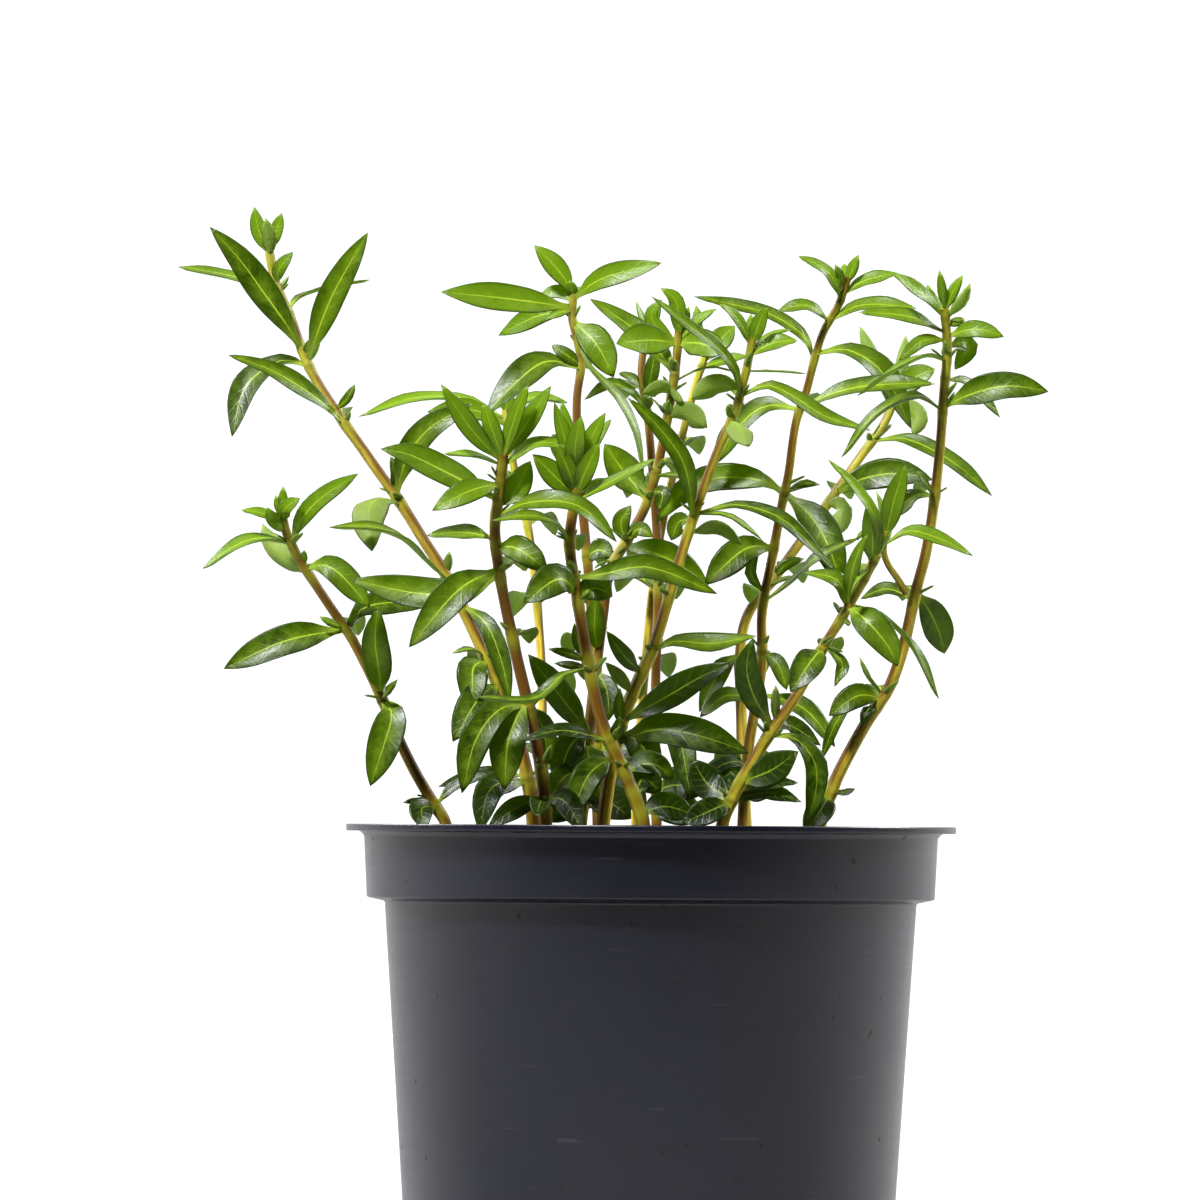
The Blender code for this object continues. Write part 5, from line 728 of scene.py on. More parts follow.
        (8.8, 2.3, HALF, [(14.0, -14.2, 8.7), (16.2, -14.4, 6.0), (16.0, -14.6, 2.2), (15.2, -14.6, 0.2)]),
        (4.4, 3.4, FRONT, [(11.9, -16, 5.5), (14.5, -17.4, 7.4)]),
        (9.4, 2.2, FRONT, [(13.6, -9.6, 10.0), (16.8, -9.8, 8.0)]),
        (2.4, 2.2, HALF, [(11.2, -12, 3.2), (14.9, -12.6, 2.4)]),
        (2.4, 2.8, FRONT, [(6.2, -15.4, 1.6), (3.0, -16.4, 0.2)]),
        (3.6, 3.0, FRONT, [(8.2, -10.6, 4.0), (10.6, -9.8, 2.8)]),
        (2.6, 3.4, FRONT, [(5.6, -12.0, 4.0), (4.0, -11.6, 6.6)]),
        (26.2, 1.2, UP, [(23.6, -17.2, 29.2)]),
        (26.2, 1.2, UP, [(22.4, -15, 29.4)]),
        (17.4, 2.4, UP, [(17.6, -11.8, 18.4), (18.4, -8.6, 17.0)]),
        (9.2, 2.4, UP, [(12.0, -10.4, 10.4), (12.6, -6.8, 9.0)]),
    ],
}
print(sum(len(rows) for rows in YOUNG_LEAVES.values()), "young and small leaves")

# %% [markdown]
# ## The line of a stem and of a midrib
#
# A stem is a smooth curve through the points of its row. It starts with a straight foot in the wool. A
# leaf's midrib is a smooth curve from the stem through its own points. A centripetal Catmull-Rom curve
# passes through every point without loops, so the rows can be read as places on the plant.

# %% Curves
def smooth_curve(points, steps=12):
    """Points along a smooth curve through the given points (centripetal Catmull-Rom)."""
    ends = [2 * points[0] - points[1], *points, 2 * points[-1] - points[-2]]
    curve = []
    for a, b, c, d in zip(ends, ends[1:], ends[2:], ends[3:]):
        t1 = math.sqrt((b - a).length)
        t2 = t1 + math.sqrt((c - b).length)
        t3 = t2 + math.sqrt((d - c).length)
        for i in range(steps):
            t = t1 + (t2 - t1) * i / steps
            ab = a.lerp(b, t / t1)
            bc = b.lerp(c, (t - t1) / (t2 - t1))
            cd = c.lerp(d, (t - t2) / (t3 - t2))
            curve.append(ab.lerp(bc, t / t2).lerp(bc.lerp(cd, (t - t1) / (t3 - t1)), (t - t1) / (t2 - t1)))
    return curve + [points[-1]]


def evenly(curve, count):
    """Points spread evenly along a curve, count steps from end to end."""
    lengths = [0.0]
    for a, b in zip(curve, curve[1:]):
        lengths.append(lengths[-1] + (b - a).length)
    points, i = [], 1
    for step in range(count + 1):
        goal = lengths[-1] * step / count
        while i < len(curve) - 1 and lengths[i] < goal:
            i += 1
        share = (goal - lengths[i - 1]) / (lengths[i] - lengths[i - 1])
        points.append(curve[i - 1].lerp(curve[i], min(1, share)))
    return points


def stem_curve(path, lean):
    """The smooth curve of a stem, with its straight foot in the wool if it starts at the rim."""
    points = [place(p, lean) for p in path]
    if path[0][2] == 0:
        x, y, _ = path[0]
        points = [place((x, y, -PLANTED_DEPTH)), place((x, y, FOOT_TOP))] + points
    return smooth_curve(points)


def midrib(curve, lean, row):
    """The midrib of a leaf, from the middle of its stem to its tip."""
    level = POT_HEIGHT + row[0] * MM
    foot = min(curve, key=lambda p: abs(p.z - level))
    return smooth_curve([foot] + [place(p, lean) for p in row[3]])


def chain_mesh(name, chains):
    """A mesh of open chains of edges. Each is (points, numbers), and its numbers go on its points."""
    points, edges, marks = [], [], {}
    for line, numbers in chains:
        start = len(points)
        points.extend(line)
        edges.extend((start + i, start + i + 1) for i in range(len(line) - 1))
        for label, value in numbers.items():
            values = value if isinstance(value, list) else [value] * len(line)
            marks.setdefault(label, []).extend(values)
    mesh = bpy.data.meshes.new(name)
    mesh.from_pydata([tuple(p) for p in points], edges, [])
    for label, values in marks.items():
        if isinstance(values[0], tuple):
            flat = [number for value in values for number in value]
            mesh.attributes.new(label, "FLOAT_VECTOR", "POINT").data.foreach_set("vector", flat)
        else:
            mesh.attributes.new(label, "FLOAT", "POINT").data.foreach_set("value", values)
    return mesh


_, _, lean, path = STEMS["stem_left_tall"]
print("The left tall stem's curve has", len(stem_curve(path, lean)), "points")

# %% [markdown]
# ## From a guide to a finished piece
#
# Stems, leaves and the wool's fibres are grown by geometry trees. Each tree runs on a guide, a simple
# mesh that carries numbers, and its result is kept as a plain mesh at the origin. A helper builds an
# empty tree with named sizes, one runs it on a guide, and one gives a finished mesh its material and its
# place in the model.

# %% Helpers for trees and pieces
def new_geometry_tree(name, inputs):
    """An empty geometry tree with named inputs, each (name, kind of socket, value), and one output."""
    tree = bpy.data.node_groups.new(name, "GeometryNodeTree")
    tree.is_modifier = True
    tree.interface.new_socket("Geometry", in_out="INPUT", socket_type="NodeSocketGeometry")
    for label, kind, value in inputs:
        tree.interface.new_socket(label, in_out="INPUT", socket_type=kind).default_value = value
    tree.interface.new_socket("Geometry", in_out="OUTPUT", socket_type="NodeSocketGeometry")
    return tree, tree.nodes.new("NodeGroupInput").outputs


def grown(name, guide, tree, values, material, drop=()):
    """Runs a geometry tree on a guide mesh and keeps the result as a plain mesh at the origin."""
    carrier = bpy.data.objects.new(name + "_guide", guide)
    bpy.context.scene.collection.objects.link(carrier)
    step = carrier.modifiers.new("grow", "NODES")
    step.node_group = tree
    sockets = {s.name: s.identifier for s in tree.interface.items_tree if s.in_out == "INPUT"}
    for label, value in values.items():
        step[sockets[label]] = value
    bpy.context.view_layer.update()
    made = bpy.data.meshes.new_from_object(carrier.evaluated_get(bpy.context.evaluated_depsgraph_get()))
    bpy.data.objects.remove(carrier, do_unlink=True)
    bpy.data.meshes.remove(guide)
    for label in drop:
        if label in made.attributes:
            made.attributes.remove(made.attributes[label])
    return settle(name, made, material)


def settle(name, mesh, material):
    """An object of a finished mesh, with its material, that rides on the plant's one body."""
    mesh.name = name
    mesh.materials.clear()
    mesh.materials.append(material)
    thing = bpy.data.objects.new(name, mesh)
    bpy.context.scene.collection.objects.link(thing)
    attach(thing, "root")
    return thing


print("Pieces ride on the one body, root")

# %% [markdown]
# ## Stems
#
# A stem is a fleshy round rod, a little thicker at each joint where a pair of leaves grows. It could be
# modelled by hand, but fourteen of them follow one rule: a circle swept along a curve, with its radius
# from the taper and from how near a joint is. That is work for Geometry Nodes. The tree below turns a
# chain of edges into a curve, sets its radius, sweeps a circle along it, and keeps the place on the
# unrolled skin, which the material uses for streaks that run along the stem.

# %% The tree that sweeps a stem
FLUTE_COUNT = 5.0


def stem_tree():
    """A circle swept along a chain of edges, thicker at the joints."""
    tree, given = new_geometry_tree("stem along its path", [
        ("Sides", "NodeSocketInt", 16),
        ("Joint swelling", "NodeSocketFloat", 0.12),
        ("Ring", "NodeSocketFloat", 0.08),
        ("Flutes", "NodeSocketFloat", 0.035),
    ])
    curve = add(tree, "GeometryNodeMeshToCurve", given["Geometry"])
    girth = add(tree, NAMED, "girth", data_type="FLOAT")
    joint = add(tree, NAMED, "joint", data_type="FLOAT")
    ring = add(tree, NAMED, "ring", data_type="FLOAT")
    swollen = add(tree, MATHS, joint, given["Joint swelling"], 1.0, operation="MULTIPLY_ADD")
    ringed = add(tree, MATHS, ring, given["Ring"], swollen, operation="MULTIPLY_ADD")
    radius = add(tree, MATHS, ringed, girth, operation="MULTIPLY")
    run = add(tree, "GeometryNodeSplineParameter", out="Length")
    curve = add(tree, STORE, {"Geometry": curve, "Name": "run", "Value": run}, **FLOAT_ON_POINTS)
    circle = add(tree, "GeometryNodeCurvePrimitiveCircle", {"Resolution": given["Sides"], "Radius": 1.0})
    spot = add(tree, "GeometryNodeInputPosition")
    circle = add(tree, STORE, {"Geometry": circle, "Name": "skin", "Value": spot},
                 data_type="FLOAT_VECTOR", domain="POINT")

    # Five shallow flutes run down the stem, which is never quite round
    x = add(tree, "ShaderNodeSeparateXYZ", spot, out="X")
    angle = add(tree, MATHS, x.node.outputs["Y"], x, operation="ARCTAN2")
    fluted = add(tree, MATHS, add(tree, MATHS, angle, FLUTE_COUNT, operation="MULTIPLY"), operation="SINE")
    wider = add(tree, MATHS, fluted, given["Flutes"], 1.0, operation="MULTIPLY_ADD")
    moved = add(tree, VECTOR, {0: spot, "Scale": wider}, operation="SCALE")
    circle = add(tree, "GeometryNodeSetPosition", {"Geometry": circle, "Position": moved})

    swept = add(tree, "GeometryNodeCurveToMesh",
                {"Curve": curve, "Profile Curve": circle, "Scale": radius, "Fill Caps": True})
    whole = add(tree, "GeometryNodeRealizeInstances", swept)
    whole = add(tree, "GeometryNodeSetShadeSmooth", whole)
    whole = add(tree, "GeometryNodeSetMaterial", {"Geometry": whole, "Material": STEM_SKIN})
    add(tree, "NodeGroupOutput", whole)
    return tree


# %% [markdown]
# ## Stem skin
#
# The skin of a ludwigia stem is thin and waxy over green flesh. It is ochre to red-brown where it grew in
# light, and yellow-green near the tip. The eye sees fine streaks along it, a darker ring at each joint, and
# a soft gloss. The streaks are noise on the unrolled skin, stretched along the stem: 0.2 mm wide on the
# real one, drawn at 0.35 mm so that they show. One flank of each stem gets painted shade, brown and
# near-black, from the way its surface faces.

# %% Stem skin
SKIN_YOUNG = "#98A024"
SKIN_OCHRE = "#C8B43A"
SKIN_BROWN = "#5E3E08"
# Near-black for the joint's scar and for painted shade on one flank
SKIN_SCAR_AND_SHADE = "#241404"
SKIN_IOR = 1.42
STREAKS_ALONG = 180.0


def ripened_and_shaded_skin(tree, patches):
    """Ochre, green towards the tip and browner at the foot and where ripe, with painted shade on one flank.
    """
    flank = add(tree, ATTRIBUTE, out="Vector", attribute_name="flank")
    age = add(tree, ATTRIBUTE, out="Fac", attribute_name="age")
    ripe = add(tree, ATTRIBUTE, out="Fac", attribute_name="ripe")
    green = add(tree, RANGE, age, 0.55, 1.0, 0.0, 0.9)
    ochre = add(tree, MIX, {"Factor": green, 6: linear(SKIN_OCHRE), 7: linear(SKIN_YOUNG)}, **OF_COLOURS)
    # Painted shade: the side that faces the stem's flank turns brown
    facing = add(tree, "ShaderNodeNewGeometry", out="Normal")
    turned_to = add(tree, VECTOR, facing, flank, out="Value", operation="DOT_PRODUCT")
    shaded_flank = add(tree, RANGE, turned_to, -0.1, 0.9, 0.0, 1.0, interpolation_type="SMOOTHSTEP")
    warm = add(tree, MATHS, patches, 0.9, ripe, operation="MULTIPLY_ADD")
    warm = add(tree, MATHS, warm, shaded_flank, operation="ADD")
    warm = add(tree, MATHS, warm, add(tree, RANGE, age, 0.25, 0.0, 0.0, 0.5), operation="ADD")
    warm = add(tree, RANGE, warm, 0.4, 1.25)
    brown = add(tree, MIX, {"Factor": warm, 6: ochre, 7: linear(SKIN_BROWN)}, **OF_COLOURS)
    # Painted shade: near-black where the surface faces the flank most
    deep = add(tree, RANGE, turned_to, 0.5, 0.95, 0.0, 0.55)
    return add(tree, MIX, {"Factor": deep, 6: brown, 7: linear(SKIN_SCAR_AND_SHADE)}, **OF_COLOURS)


def stem_skin():
    """Waxy skin with streaks along the stem, painted shade on one flank, and greener towards the tip."""
    material, tree = new_material("waxy_stem_skin")
    skin = add(tree, ATTRIBUTE, out="Vector", attribute_name="skin")
    run = add(tree, ATTRIBUTE, out="Fac", attribute_name="run")
    joint = add(tree, ATTRIBUTE, out="Fac", attribute_name="joint")
    ring = add(tree, ATTRIBUTE, out="Fac", attribute_name="ring")
    lengthwise = add(tree, MATHS, run, STREAKS_ALONG, operation="MULTIPLY")
    x = add(tree, "ShaderNodeSeparateXYZ", skin, out="X")
    unrolled = add(tree, "ShaderNodeCombineXYZ", x, x.node.outputs["Y"], lengthwise)
    streaks = add(tree, NOISE, {"Vector": unrolled, "Scale": 2.6, "Detail": 5.0, "Roughness": 0.75})
    patches = add(tree, NOISE, {"Vector": unrolled, "Scale": 0.8, "Detail": 2.0})
    brown = ripened_and_shaded_skin(tree, patches)

    # Streaks, and a green joint with a dark scar
    streaked = add(tree, RANGE, streaks, 0.4, 0.64, 0.0, 0.65)
    dark = add(tree, MIX, {"Factor": streaked, 6: brown, 7: linear(SKIN_BROWN)}, **OF_COLOURS)
    tinted = add(tree, MATHS, joint, 0.5, operation="MULTIPLY")
    jointed = add(tree, MIX, {"Factor": tinted, 6: dark, 7: linear(SKIN_YOUNG)}, **OF_COLOURS)
    scar = add(tree, MATHS, ring, 0.55, operation="MULTIPLY")
    colour = add(tree, MIX, {"Factor": scar, 6: jointed, 7: linear(SKIN_SCAR_AND_SHADE)}, **OF_COLOURS)

    rough = add(tree, RANGE, streaks, 0.3, 0.7, 0.36, 0.52)
    relief = add(tree, "ShaderNodeBump", {"Height": streaks, "Strength": 0.6, "Distance": 0.0001})
    surface = add(tree, "ShaderNodeBsdfPrincipled",
                  {"Base Color": colour, "Roughness": rough, "IOR": SKIN_IOR, "Specular IOR Level": 0.25,
                   "Normal": relief})
    add(tree, "ShaderNodeOutputMaterial", surface)
    return material


STEM_SKIN = stem_skin()
STEM_TREE = stem_tree()
print("Stem skin has", len(STEM_SKIN.node_tree.nodes), "nodes")

# %% [markdown]
# ## Growing the stems
#
# Each stem's guide is a chain of points half a millimetre apart. It carries the radius, how far up the
# point is, how ripe the skin is, on which flank it gets painted shade, and how near the next joint is. The
# joints are where the leaf rows say that leaves grow, and leaves that start within a millimetre and a half
# of each other share one. The finished stem replaces its plain solid.

# %% Grow the stems
GUIDE_STEP = 0.0005
STEM_SIDES = 20
SHARED_JOINT = 1.5
JOINT_REACH = 0.9 * MM
RING_REACH = 0.16 * MM
# The flanks that get painted shade, and each stem's ripeness with its shaded flank
LEFT_FLANK = (-0.95, -0.3, 0.0)
RIGHT_FLANK = (0.95, -0.3, 0.0)
RIPENESS_AND_SHADED_FLANK = {
    "stem_left_low": (0.5, RIGHT_FLANK),
    "stem_left_tall": (0.25, RIGHT_FLANK),
    "stem_front_dark": (1.1, RIGHT_FLANK),
    "stem_back_left": (-0.35, RIGHT_FLANK),
    "stem_centre_tall": (1.1, RIGHT_FLANK),
    "stem_front_centre": (0.7, RIGHT_FLANK),
    "stem_back_red": (0.7, RIGHT_FLANK),
    "stem_middle": (0.65, RIGHT_FLANK),
    "stem_back_yellow": (-0.45, RIGHT_FLANK),
    "stem_centre_leaning": (-0.05, LEFT_FLANK),
    "stem_right_tall": (0.25, LEFT_FLANK),
    "stem_back_right": (-0.35, LEFT_FLANK),
    "stem_right": (-0.05, LEFT_FLANK),
    "stem_front_right": (-0.1, LEFT_FLANK),
    "stem_right_side_shoot": (-0.3, LEFT_FLANK),
}


def joints_of(name):
    """Heights above the rim where leaves grow on a stem, one for each pair."""
    heights = []
    for row in sorted(BROAD_LEAVES.get(name, []) + YOUNG_LEAVES[name], key=lambda row: row[0]):
        if not heights or row[0] - heights[-1] > SHARED_JOINT:
            heights.append(row[0])
    return heights


def grow_stem(name, foot_radius, tip_radius, lean, path):
    """One stem with its joints, in place of its solid."""
    curve = stem_curve(path, lean)
    length = sum((b - a).length for a, b in zip(curve, curve[1:]))
    line = evenly(curve, round(length / GUIDE_STEP))
    steps = len(line) - 1
    levels = [POT_HEIGHT + height * MM for height in joints_of(name)]
    near = [min(abs(p.z - level) for level in levels) for p in line]
    ripeness, flank = RIPENESS_AND_SHADED_FLANK[name]
    numbers = {
        "girth": [(foot_radius + (tip_radius - foot_radius) * i / steps) * MM for i in range(steps + 1)],
        "age": [i / steps for i in range(steps + 1)],
        "joint": [math.exp(-(d / JOINT_REACH) ** 2) for d in near],
        "ring": [math.exp(-(d / RING_REACH) ** 2) for d in near],
        "ripe": ripeness,
        "flank": flank,
    }
    guide = chain_mesh(name, [(line, numbers)])
    stem = grown(name.replace("stem", "fine_stem"), guide, STEM_TREE, {"Sides": STEM_SIDES},
                 STEM_SKIN, drop=("girth",))
    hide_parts(name)
    return len(stem.data.polygons)


ALL_STEMS = {**STEMS, "stem_right_side_shoot": SIDE_SHOOT}
print("Stem faces:", sum(grow_stem(name, *row) for name, row in ALL_STEMS.items()))

# %% [markdown]
# ## Leaf blades
#
# A leaf of needle leaf ludwigia is a narrow blade with a short stalk. It is folded up a little along its
# midrib, thin at the margin, and arched. Three hundred of them by hand would be slow, and they all follow
# one rule, so one geometry tree makes them. It puts a closed tube on the foot of each midrib, then moves
# every point of the tube to its share of the midrib's length and width. The tube's front is the upper
# sheet of the blade and its back the lower one, so the leaf is closed and has a thickness. A float curve
# holds the outline, and can be drawn by hand.

# %% The blade's outline
OUTLINE = [
    (0, 0.24), (0.06, 0.22), (0.15, 0.38), (0.28, 0.76), (0.42, 0.97), (0.55, 1), (0.7, 0.88), (0.83, 0.62),
    (0.93, 0.3), (1, 0),
]


def drawn_outline(tree, run):
    """The blade's width at each share of its length, on a curve that can be drawn by hand."""
    outline = add(tree, "ShaderNodeFloatCurve", {"Factor": 1.0, "Value": run})
    drawn = outline.node.mapping
    for _ in range(len(OUTLINE) - 2):
        drawn.curves[0].points.new(0.5, 0.5)
    for point, spot in zip(drawn.curves[0].points, OUTLINE):
        point.location = spot
    drawn.update()
    return outline


print("The blade is broadest at", max(OUTLINE, key=lambda spot: spot[1])[0], "of its length")

# %% [markdown]
# ## Rods on the midribs
#
# The tree starts with an upright rod on the foot of each midrib. Every point of the rod is marked with
# its share of the leaf's length, its place across the blade and the sheet it belongs to, and each rod
# gets a number and a chance value of its own. These marks last when the rods are made real, and steer
# what follows.

# %% Rods on the midribs
def marked_rods(tree, given):
    """A closed rod on the foot of each midrib, with its marks."""
    rod = add(tree, "GeometryNodeMeshCylinder",
              {"Vertices": given["Sides"], "Side Segments": given["Rings"], "Radius": 1.0, "Depth": 1.0},
              fill_type="NGON")
    x = add(tree, "ShaderNodeSeparateXYZ", add(tree, "GeometryNodeInputPosition"), out="X")
    y, z = x.node.outputs["Y"], x.node.outputs["Z"]
    length = add(tree, MATHS, z, 0.5, operation="ADD")
    breadth = add(tree, MATHS, x, 0.5, 0.5, operation="MULTIPLY_ADD")
    for label, value in (("run", length), ("across", x), ("sheet", y)):
        rod = add(tree, STORE, {"Geometry": rod, "Name": label, "Value": value}, **FLOAT_ON_POINTS)
    flat = add(tree, "ShaderNodeCombineXYZ", length, breadth)
    rod = add(tree, STORE, {"Geometry": rod, "Name": "UVMap", "Value": flat},
              data_type="FLOAT2", domain="CORNER")
    foot = add(tree, NAMED, "foot", data_type="FLOAT")
    is_foot = add(tree, "FunctionNodeCompare", foot, 0.5, operation="GREATER_THAN")
    blades = add(tree, "GeometryNodeInstanceOnPoints",
                 {"Points": given["Geometry"], "Selection": is_foot, "Instance": rod})
    number = add(tree, "GeometryNodeInputIndex")
    blades = add(tree, STORE, {"Geometry": blades, "Name": "leaf", "Value": number},
                 data_type="INT", domain="INSTANCE")
    chance = add(tree, "FunctionNodeRandomValue", {2: -1.0, 3: 1.0, "Seed": given["Seed"]}, out=1)
    blades = add(tree, STORE, {"Geometry": blades, "Name": "tone", "Value": chance},
                 data_type="FLOAT", domain="INSTANCE")
    return add(tree, "GeometryNodeRealizeInstances", blades)


def along_midrib(tree, given, run):
    """The point of the midrib at a share of its length, and the ways up and sideways from there."""
    midribs = add(tree, "GeometryNodeMeshToCurve", given["Geometry"])
    own = add(tree, NAMED, "leaf", data_type="INT")
    on_rib = add(tree, "GeometryNodeSampleCurve", {"Curves": midribs, "Factor": run, "Curve Index": own},
                 out="Position", mode="FACTOR", use_all_curves=False)
    ahead = on_rib.node.outputs["Tangent"]
    look = add(tree, NAMED, "look", data_type="FLOAT_VECTOR")
    share = add(tree, VECTOR, look, ahead, out="Value", operation="DOT_PRODUCT")
    along = add(tree, VECTOR, {0: ahead, "Scale": share}, operation="SCALE")
    square = add(tree, VECTOR, look, along, operation="SUBTRACT")
    up = add(tree, VECTOR, square, operation="NORMALIZE")
    side = add(tree, VECTOR, ahead, up, operation="CROSS_PRODUCT")
    return on_rib, up, side


# %% [markdown]
# ## Fold, wave, thickness and keel
#
# Seen from its tip, a blade is a shallow V with a keel below, where the midrib is. Its margin waves a
# little, as soft leaves do, and it is thinner there. Each of these is a height over or under the midrib,
# so they are added up. The wave starts at another point on every leaf, which its chance value sets.

# %% Height over the midrib
WAVE_RADIANS = 11.0
WAVE_SHIFT = 20.0
STEEPER_OUTWARDS = 1.5
THINNER_AT_MARGIN = -0.6
KEEL_WIDTH = 0.4


def fold_and_wave(tree, given, run, across, off, half):
    """Height of the blade's middle sheet: folded up along the midrib, with a wave along the margin."""
    bent = add(tree, MATHS, off, STEEPER_OUTWARDS, operation="POWER")
    bent = add(tree, MATHS, bent, given["Fold"], operation="MULTIPLY")
    fold = add(tree, MATHS, bent, half, operation="MULTIPLY")
    tone = add(tree, NAMED, "tone", data_type="FLOAT")
    start = add(tree, MATHS, tone, WAVE_SHIFT, operation="MULTIPLY")
    turn = add(tree, MATHS, run, WAVE_RADIANS, start, operation="MULTIPLY_ADD")
    swing = add(tree, MATHS, turn, operation="SINE")
    swing = add(tree, MATHS, swing, given["Wave"], operation="MULTIPLY")
    edge = add(tree, MATHS, off, 2.0, operation="POWER")
    reach = add(tree, MATHS, edge, half, operation="MULTIPLY")
    wave = add(tree, MATHS, swing, reach, operation="MULTIPLY")
    hand = add(tree, MATHS, across, operation="SIGN")
    return add(tree, MATHS, wave, hand, fold, operation="MULTIPLY_ADD")


def sheets_and_keel(tree, given, off, outline, rise):
    """The two sheets of the blade, thinner at the margin, with the midrib's keel under the lower one."""
    sheet = add(tree, NAMED, "sheet", data_type="FLOAT")
    edge = add(tree, MATHS, off, 2.0, operation="POWER")
    thin = add(tree, MATHS, edge, THINNER_AT_MARGIN, 1.0, operation="MULTIPLY_ADD")
    full = add(tree, MATHS, outline, 3.0, operation="MULTIPLY")
    full = add(tree, MATHS, full, 1.0, operation="MINIMUM")
    thin = add(tree, MATHS, thin, full, operation="MULTIPLY")
    thick = add(tree, MATHS, given["Blade thickness"], 0.5, operation="MULTIPLY")
    thick = add(tree, MATHS, thick, thin, operation="MULTIPLY")
    rise = add(tree, MATHS, sheet, thick, rise, operation="MULTIPLY_ADD")
    rib = add(tree, RANGE, off, 0.0, KEEL_WIDTH, 1.0, 0.0)
    below = add(tree, MATHS, sheet, 0.0, operation="MINIMUM")
    below = add(tree, MATHS, below, 1.4, -0.4, operation="MULTIPLY_ADD")
    depth = add(tree, MATHS, given["Midrib depth"], full, operation="MULTIPLY")
    keel = add(tree, MATHS, rib, below, operation="MULTIPLY")
    return add(tree, MATHS, keel, depth, rise, operation="MULTIPLY_ADD")


# %% [markdown]
# ## The tree that unfolds the blades
#
# The steps come together here: every point of a rod moves to its place on the blade. The points at the
# two ends of a blade fall together, so they are merged.

# %% The tree that unfolds the blades
MERGE_WITHIN = 0.000002


def blade_tree():
    """A closed blade unfolded along each chain of edges."""
    tree, given = new_geometry_tree("blades along midribs", [
        ("Sides", "NodeSocketInt", 12),
        ("Rings", "NodeSocketInt", 14),
        ("Blade thickness", "NodeSocketFloat", 0.00028),
        ("Fold", "NodeSocketFloat", 0.3),
        ("Midrib depth", "NodeSocketFloat", 0.00018),
        ("Wave", "NodeSocketFloat", 0.1),
        ("Seed", "NodeSocketInt", 1),
    ])
    blades = marked_rods(tree, given)
    run = add(tree, NAMED, "run", data_type="FLOAT")
    across = add(tree, NAMED, "across", data_type="FLOAT")
    off = add(tree, MATHS, across, operation="ABSOLUTE")
    on_rib, up, side = along_midrib(tree, given, run)

    outline = drawn_outline(tree, run)
    half_width = add(tree, NAMED, "half_width", data_type="FLOAT")
    half = add(tree, MATHS, outline, half_width, operation="MULTIPLY")
    spread = add(tree, MATHS, across, half, operation="MULTIPLY")
    rise = fold_and_wave(tree, given, run, across, off, half)
    rise = sheets_and_keel(tree, given, off, outline, rise)

    sideways = add(tree, VECTOR, {0: side, "Scale": spread}, operation="SCALE")
    upwards = add(tree, VECTOR, {0: up, "Scale": rise}, operation="SCALE")
    spot = add(tree, VECTOR, on_rib, sideways, operation="ADD")
    spot = add(tree, VECTOR, spot, upwards, operation="ADD")
    blades = add(tree, "GeometryNodeSetPosition", {"Geometry": blades, "Position": spot})
    blades = add(tree, "GeometryNodeMergeByDistance", {"Geometry": blades, "Distance": MERGE_WITHIN})
    blades = add(tree, "GeometryNodeSetShadeSmooth", blades)
    blades = add(tree, "GeometryNodeSetMaterial", {"Geometry": blades, "Material": LEAF_BLADE})
    add(tree, "NodeGroupOutput", blades)
    return tree


# %% [markdown]
# ## The leaf's surface
#
# A living leaf is a thin layer of green flesh under a clear waxy skin. Light from behind shines through
# it, and the skin gives a soft gloss. Along the middle runs a pale yellow-green midrib with side veins that
# leave it at a slant, and the underside is paler. The blade gets painted light beside the midrib and
# painted shade at the margin. Young leaves at the tips are a lighter, yellower green. The shader mixes a
# glossy surface with a translucent one. Veins follow the leaf's own UV map, which runs from foot to tip and
# from edge to edge.

# %% The leaf's surface
LEAF_DEEP = "#0F1E02"
LEAF_GREEN = "#526C07"
# A lighter green for the side veins and for painted light beside the midrib
LEAF_VEIN_AND_PAINTED_LIGHT = "#90AC20"
LEAF_YOUNG = "#789A1A"
LEAF_RIB = "#B4CC38"
LEAF_FOOT = "#9DB43A"
LEAF_UNDER = "#93A850"
# Dark green for painted shade at the margin and for the tip's own dark point
LEAF_MARGIN_SHADE_AND_TIP = "#142603"
LEAF_SHINE_THROUGH = "#A6C804"
LEAF_IOR = 1.42
TRANSLUCENT_SHARE = 0.45
VEINS_PER_LEAF = 9.0


def blade_green(tree, off, mottle, shade):
    """Green, varied by leaf and in blotches, with painted shade low down and painted light by the midrib.
    """
    tone = add(tree, ATTRIBUTE, out="Fac", attribute_name="tone")
    youth = add(tree, ATTRIBUTE, out="Fac", attribute_name="youth")
    blotch = add(tree, MATHS, mottle, 1.8, -0.9, operation="MULTIPLY_ADD")
    ripe = add(tree, MATHS, tone, 0.3, blotch, operation="MULTIPLY_ADD")
    # Painted shade: leaves deep in the bunch lean towards the deep green
    ripe = add(tree, MATHS, ripe, shade, operation="SUBTRACT")
    ripe = add(tree, RANGE, ripe, -0.5, 0.4)
    green = add(tree, MIX, {"Factor": ripe, 6: linear(LEAF_DEEP), 7: linear(LEAF_GREEN)}, **OF_COLOURS)
    # Painted light: brighter beside the midrib
    painted_light = add(tree, RANGE, off, 0.8, 0.05, 0.0, 0.5, interpolation_type="SMOOTHSTEP")
    painted_light = add(tree, MATHS, painted_light, ripe, operation="MULTIPLY")
    green = add(tree, MIX, {"Factor": painted_light, 6: green, 7: linear(LEAF_VEIN_AND_PAINTED_LIGHT)}, **OF_COLOURS)
    return add(tree, MIX, {"Factor": youth, 6: green, 7: linear(LEAF_YOUNG)}, **OF_COLOURS)


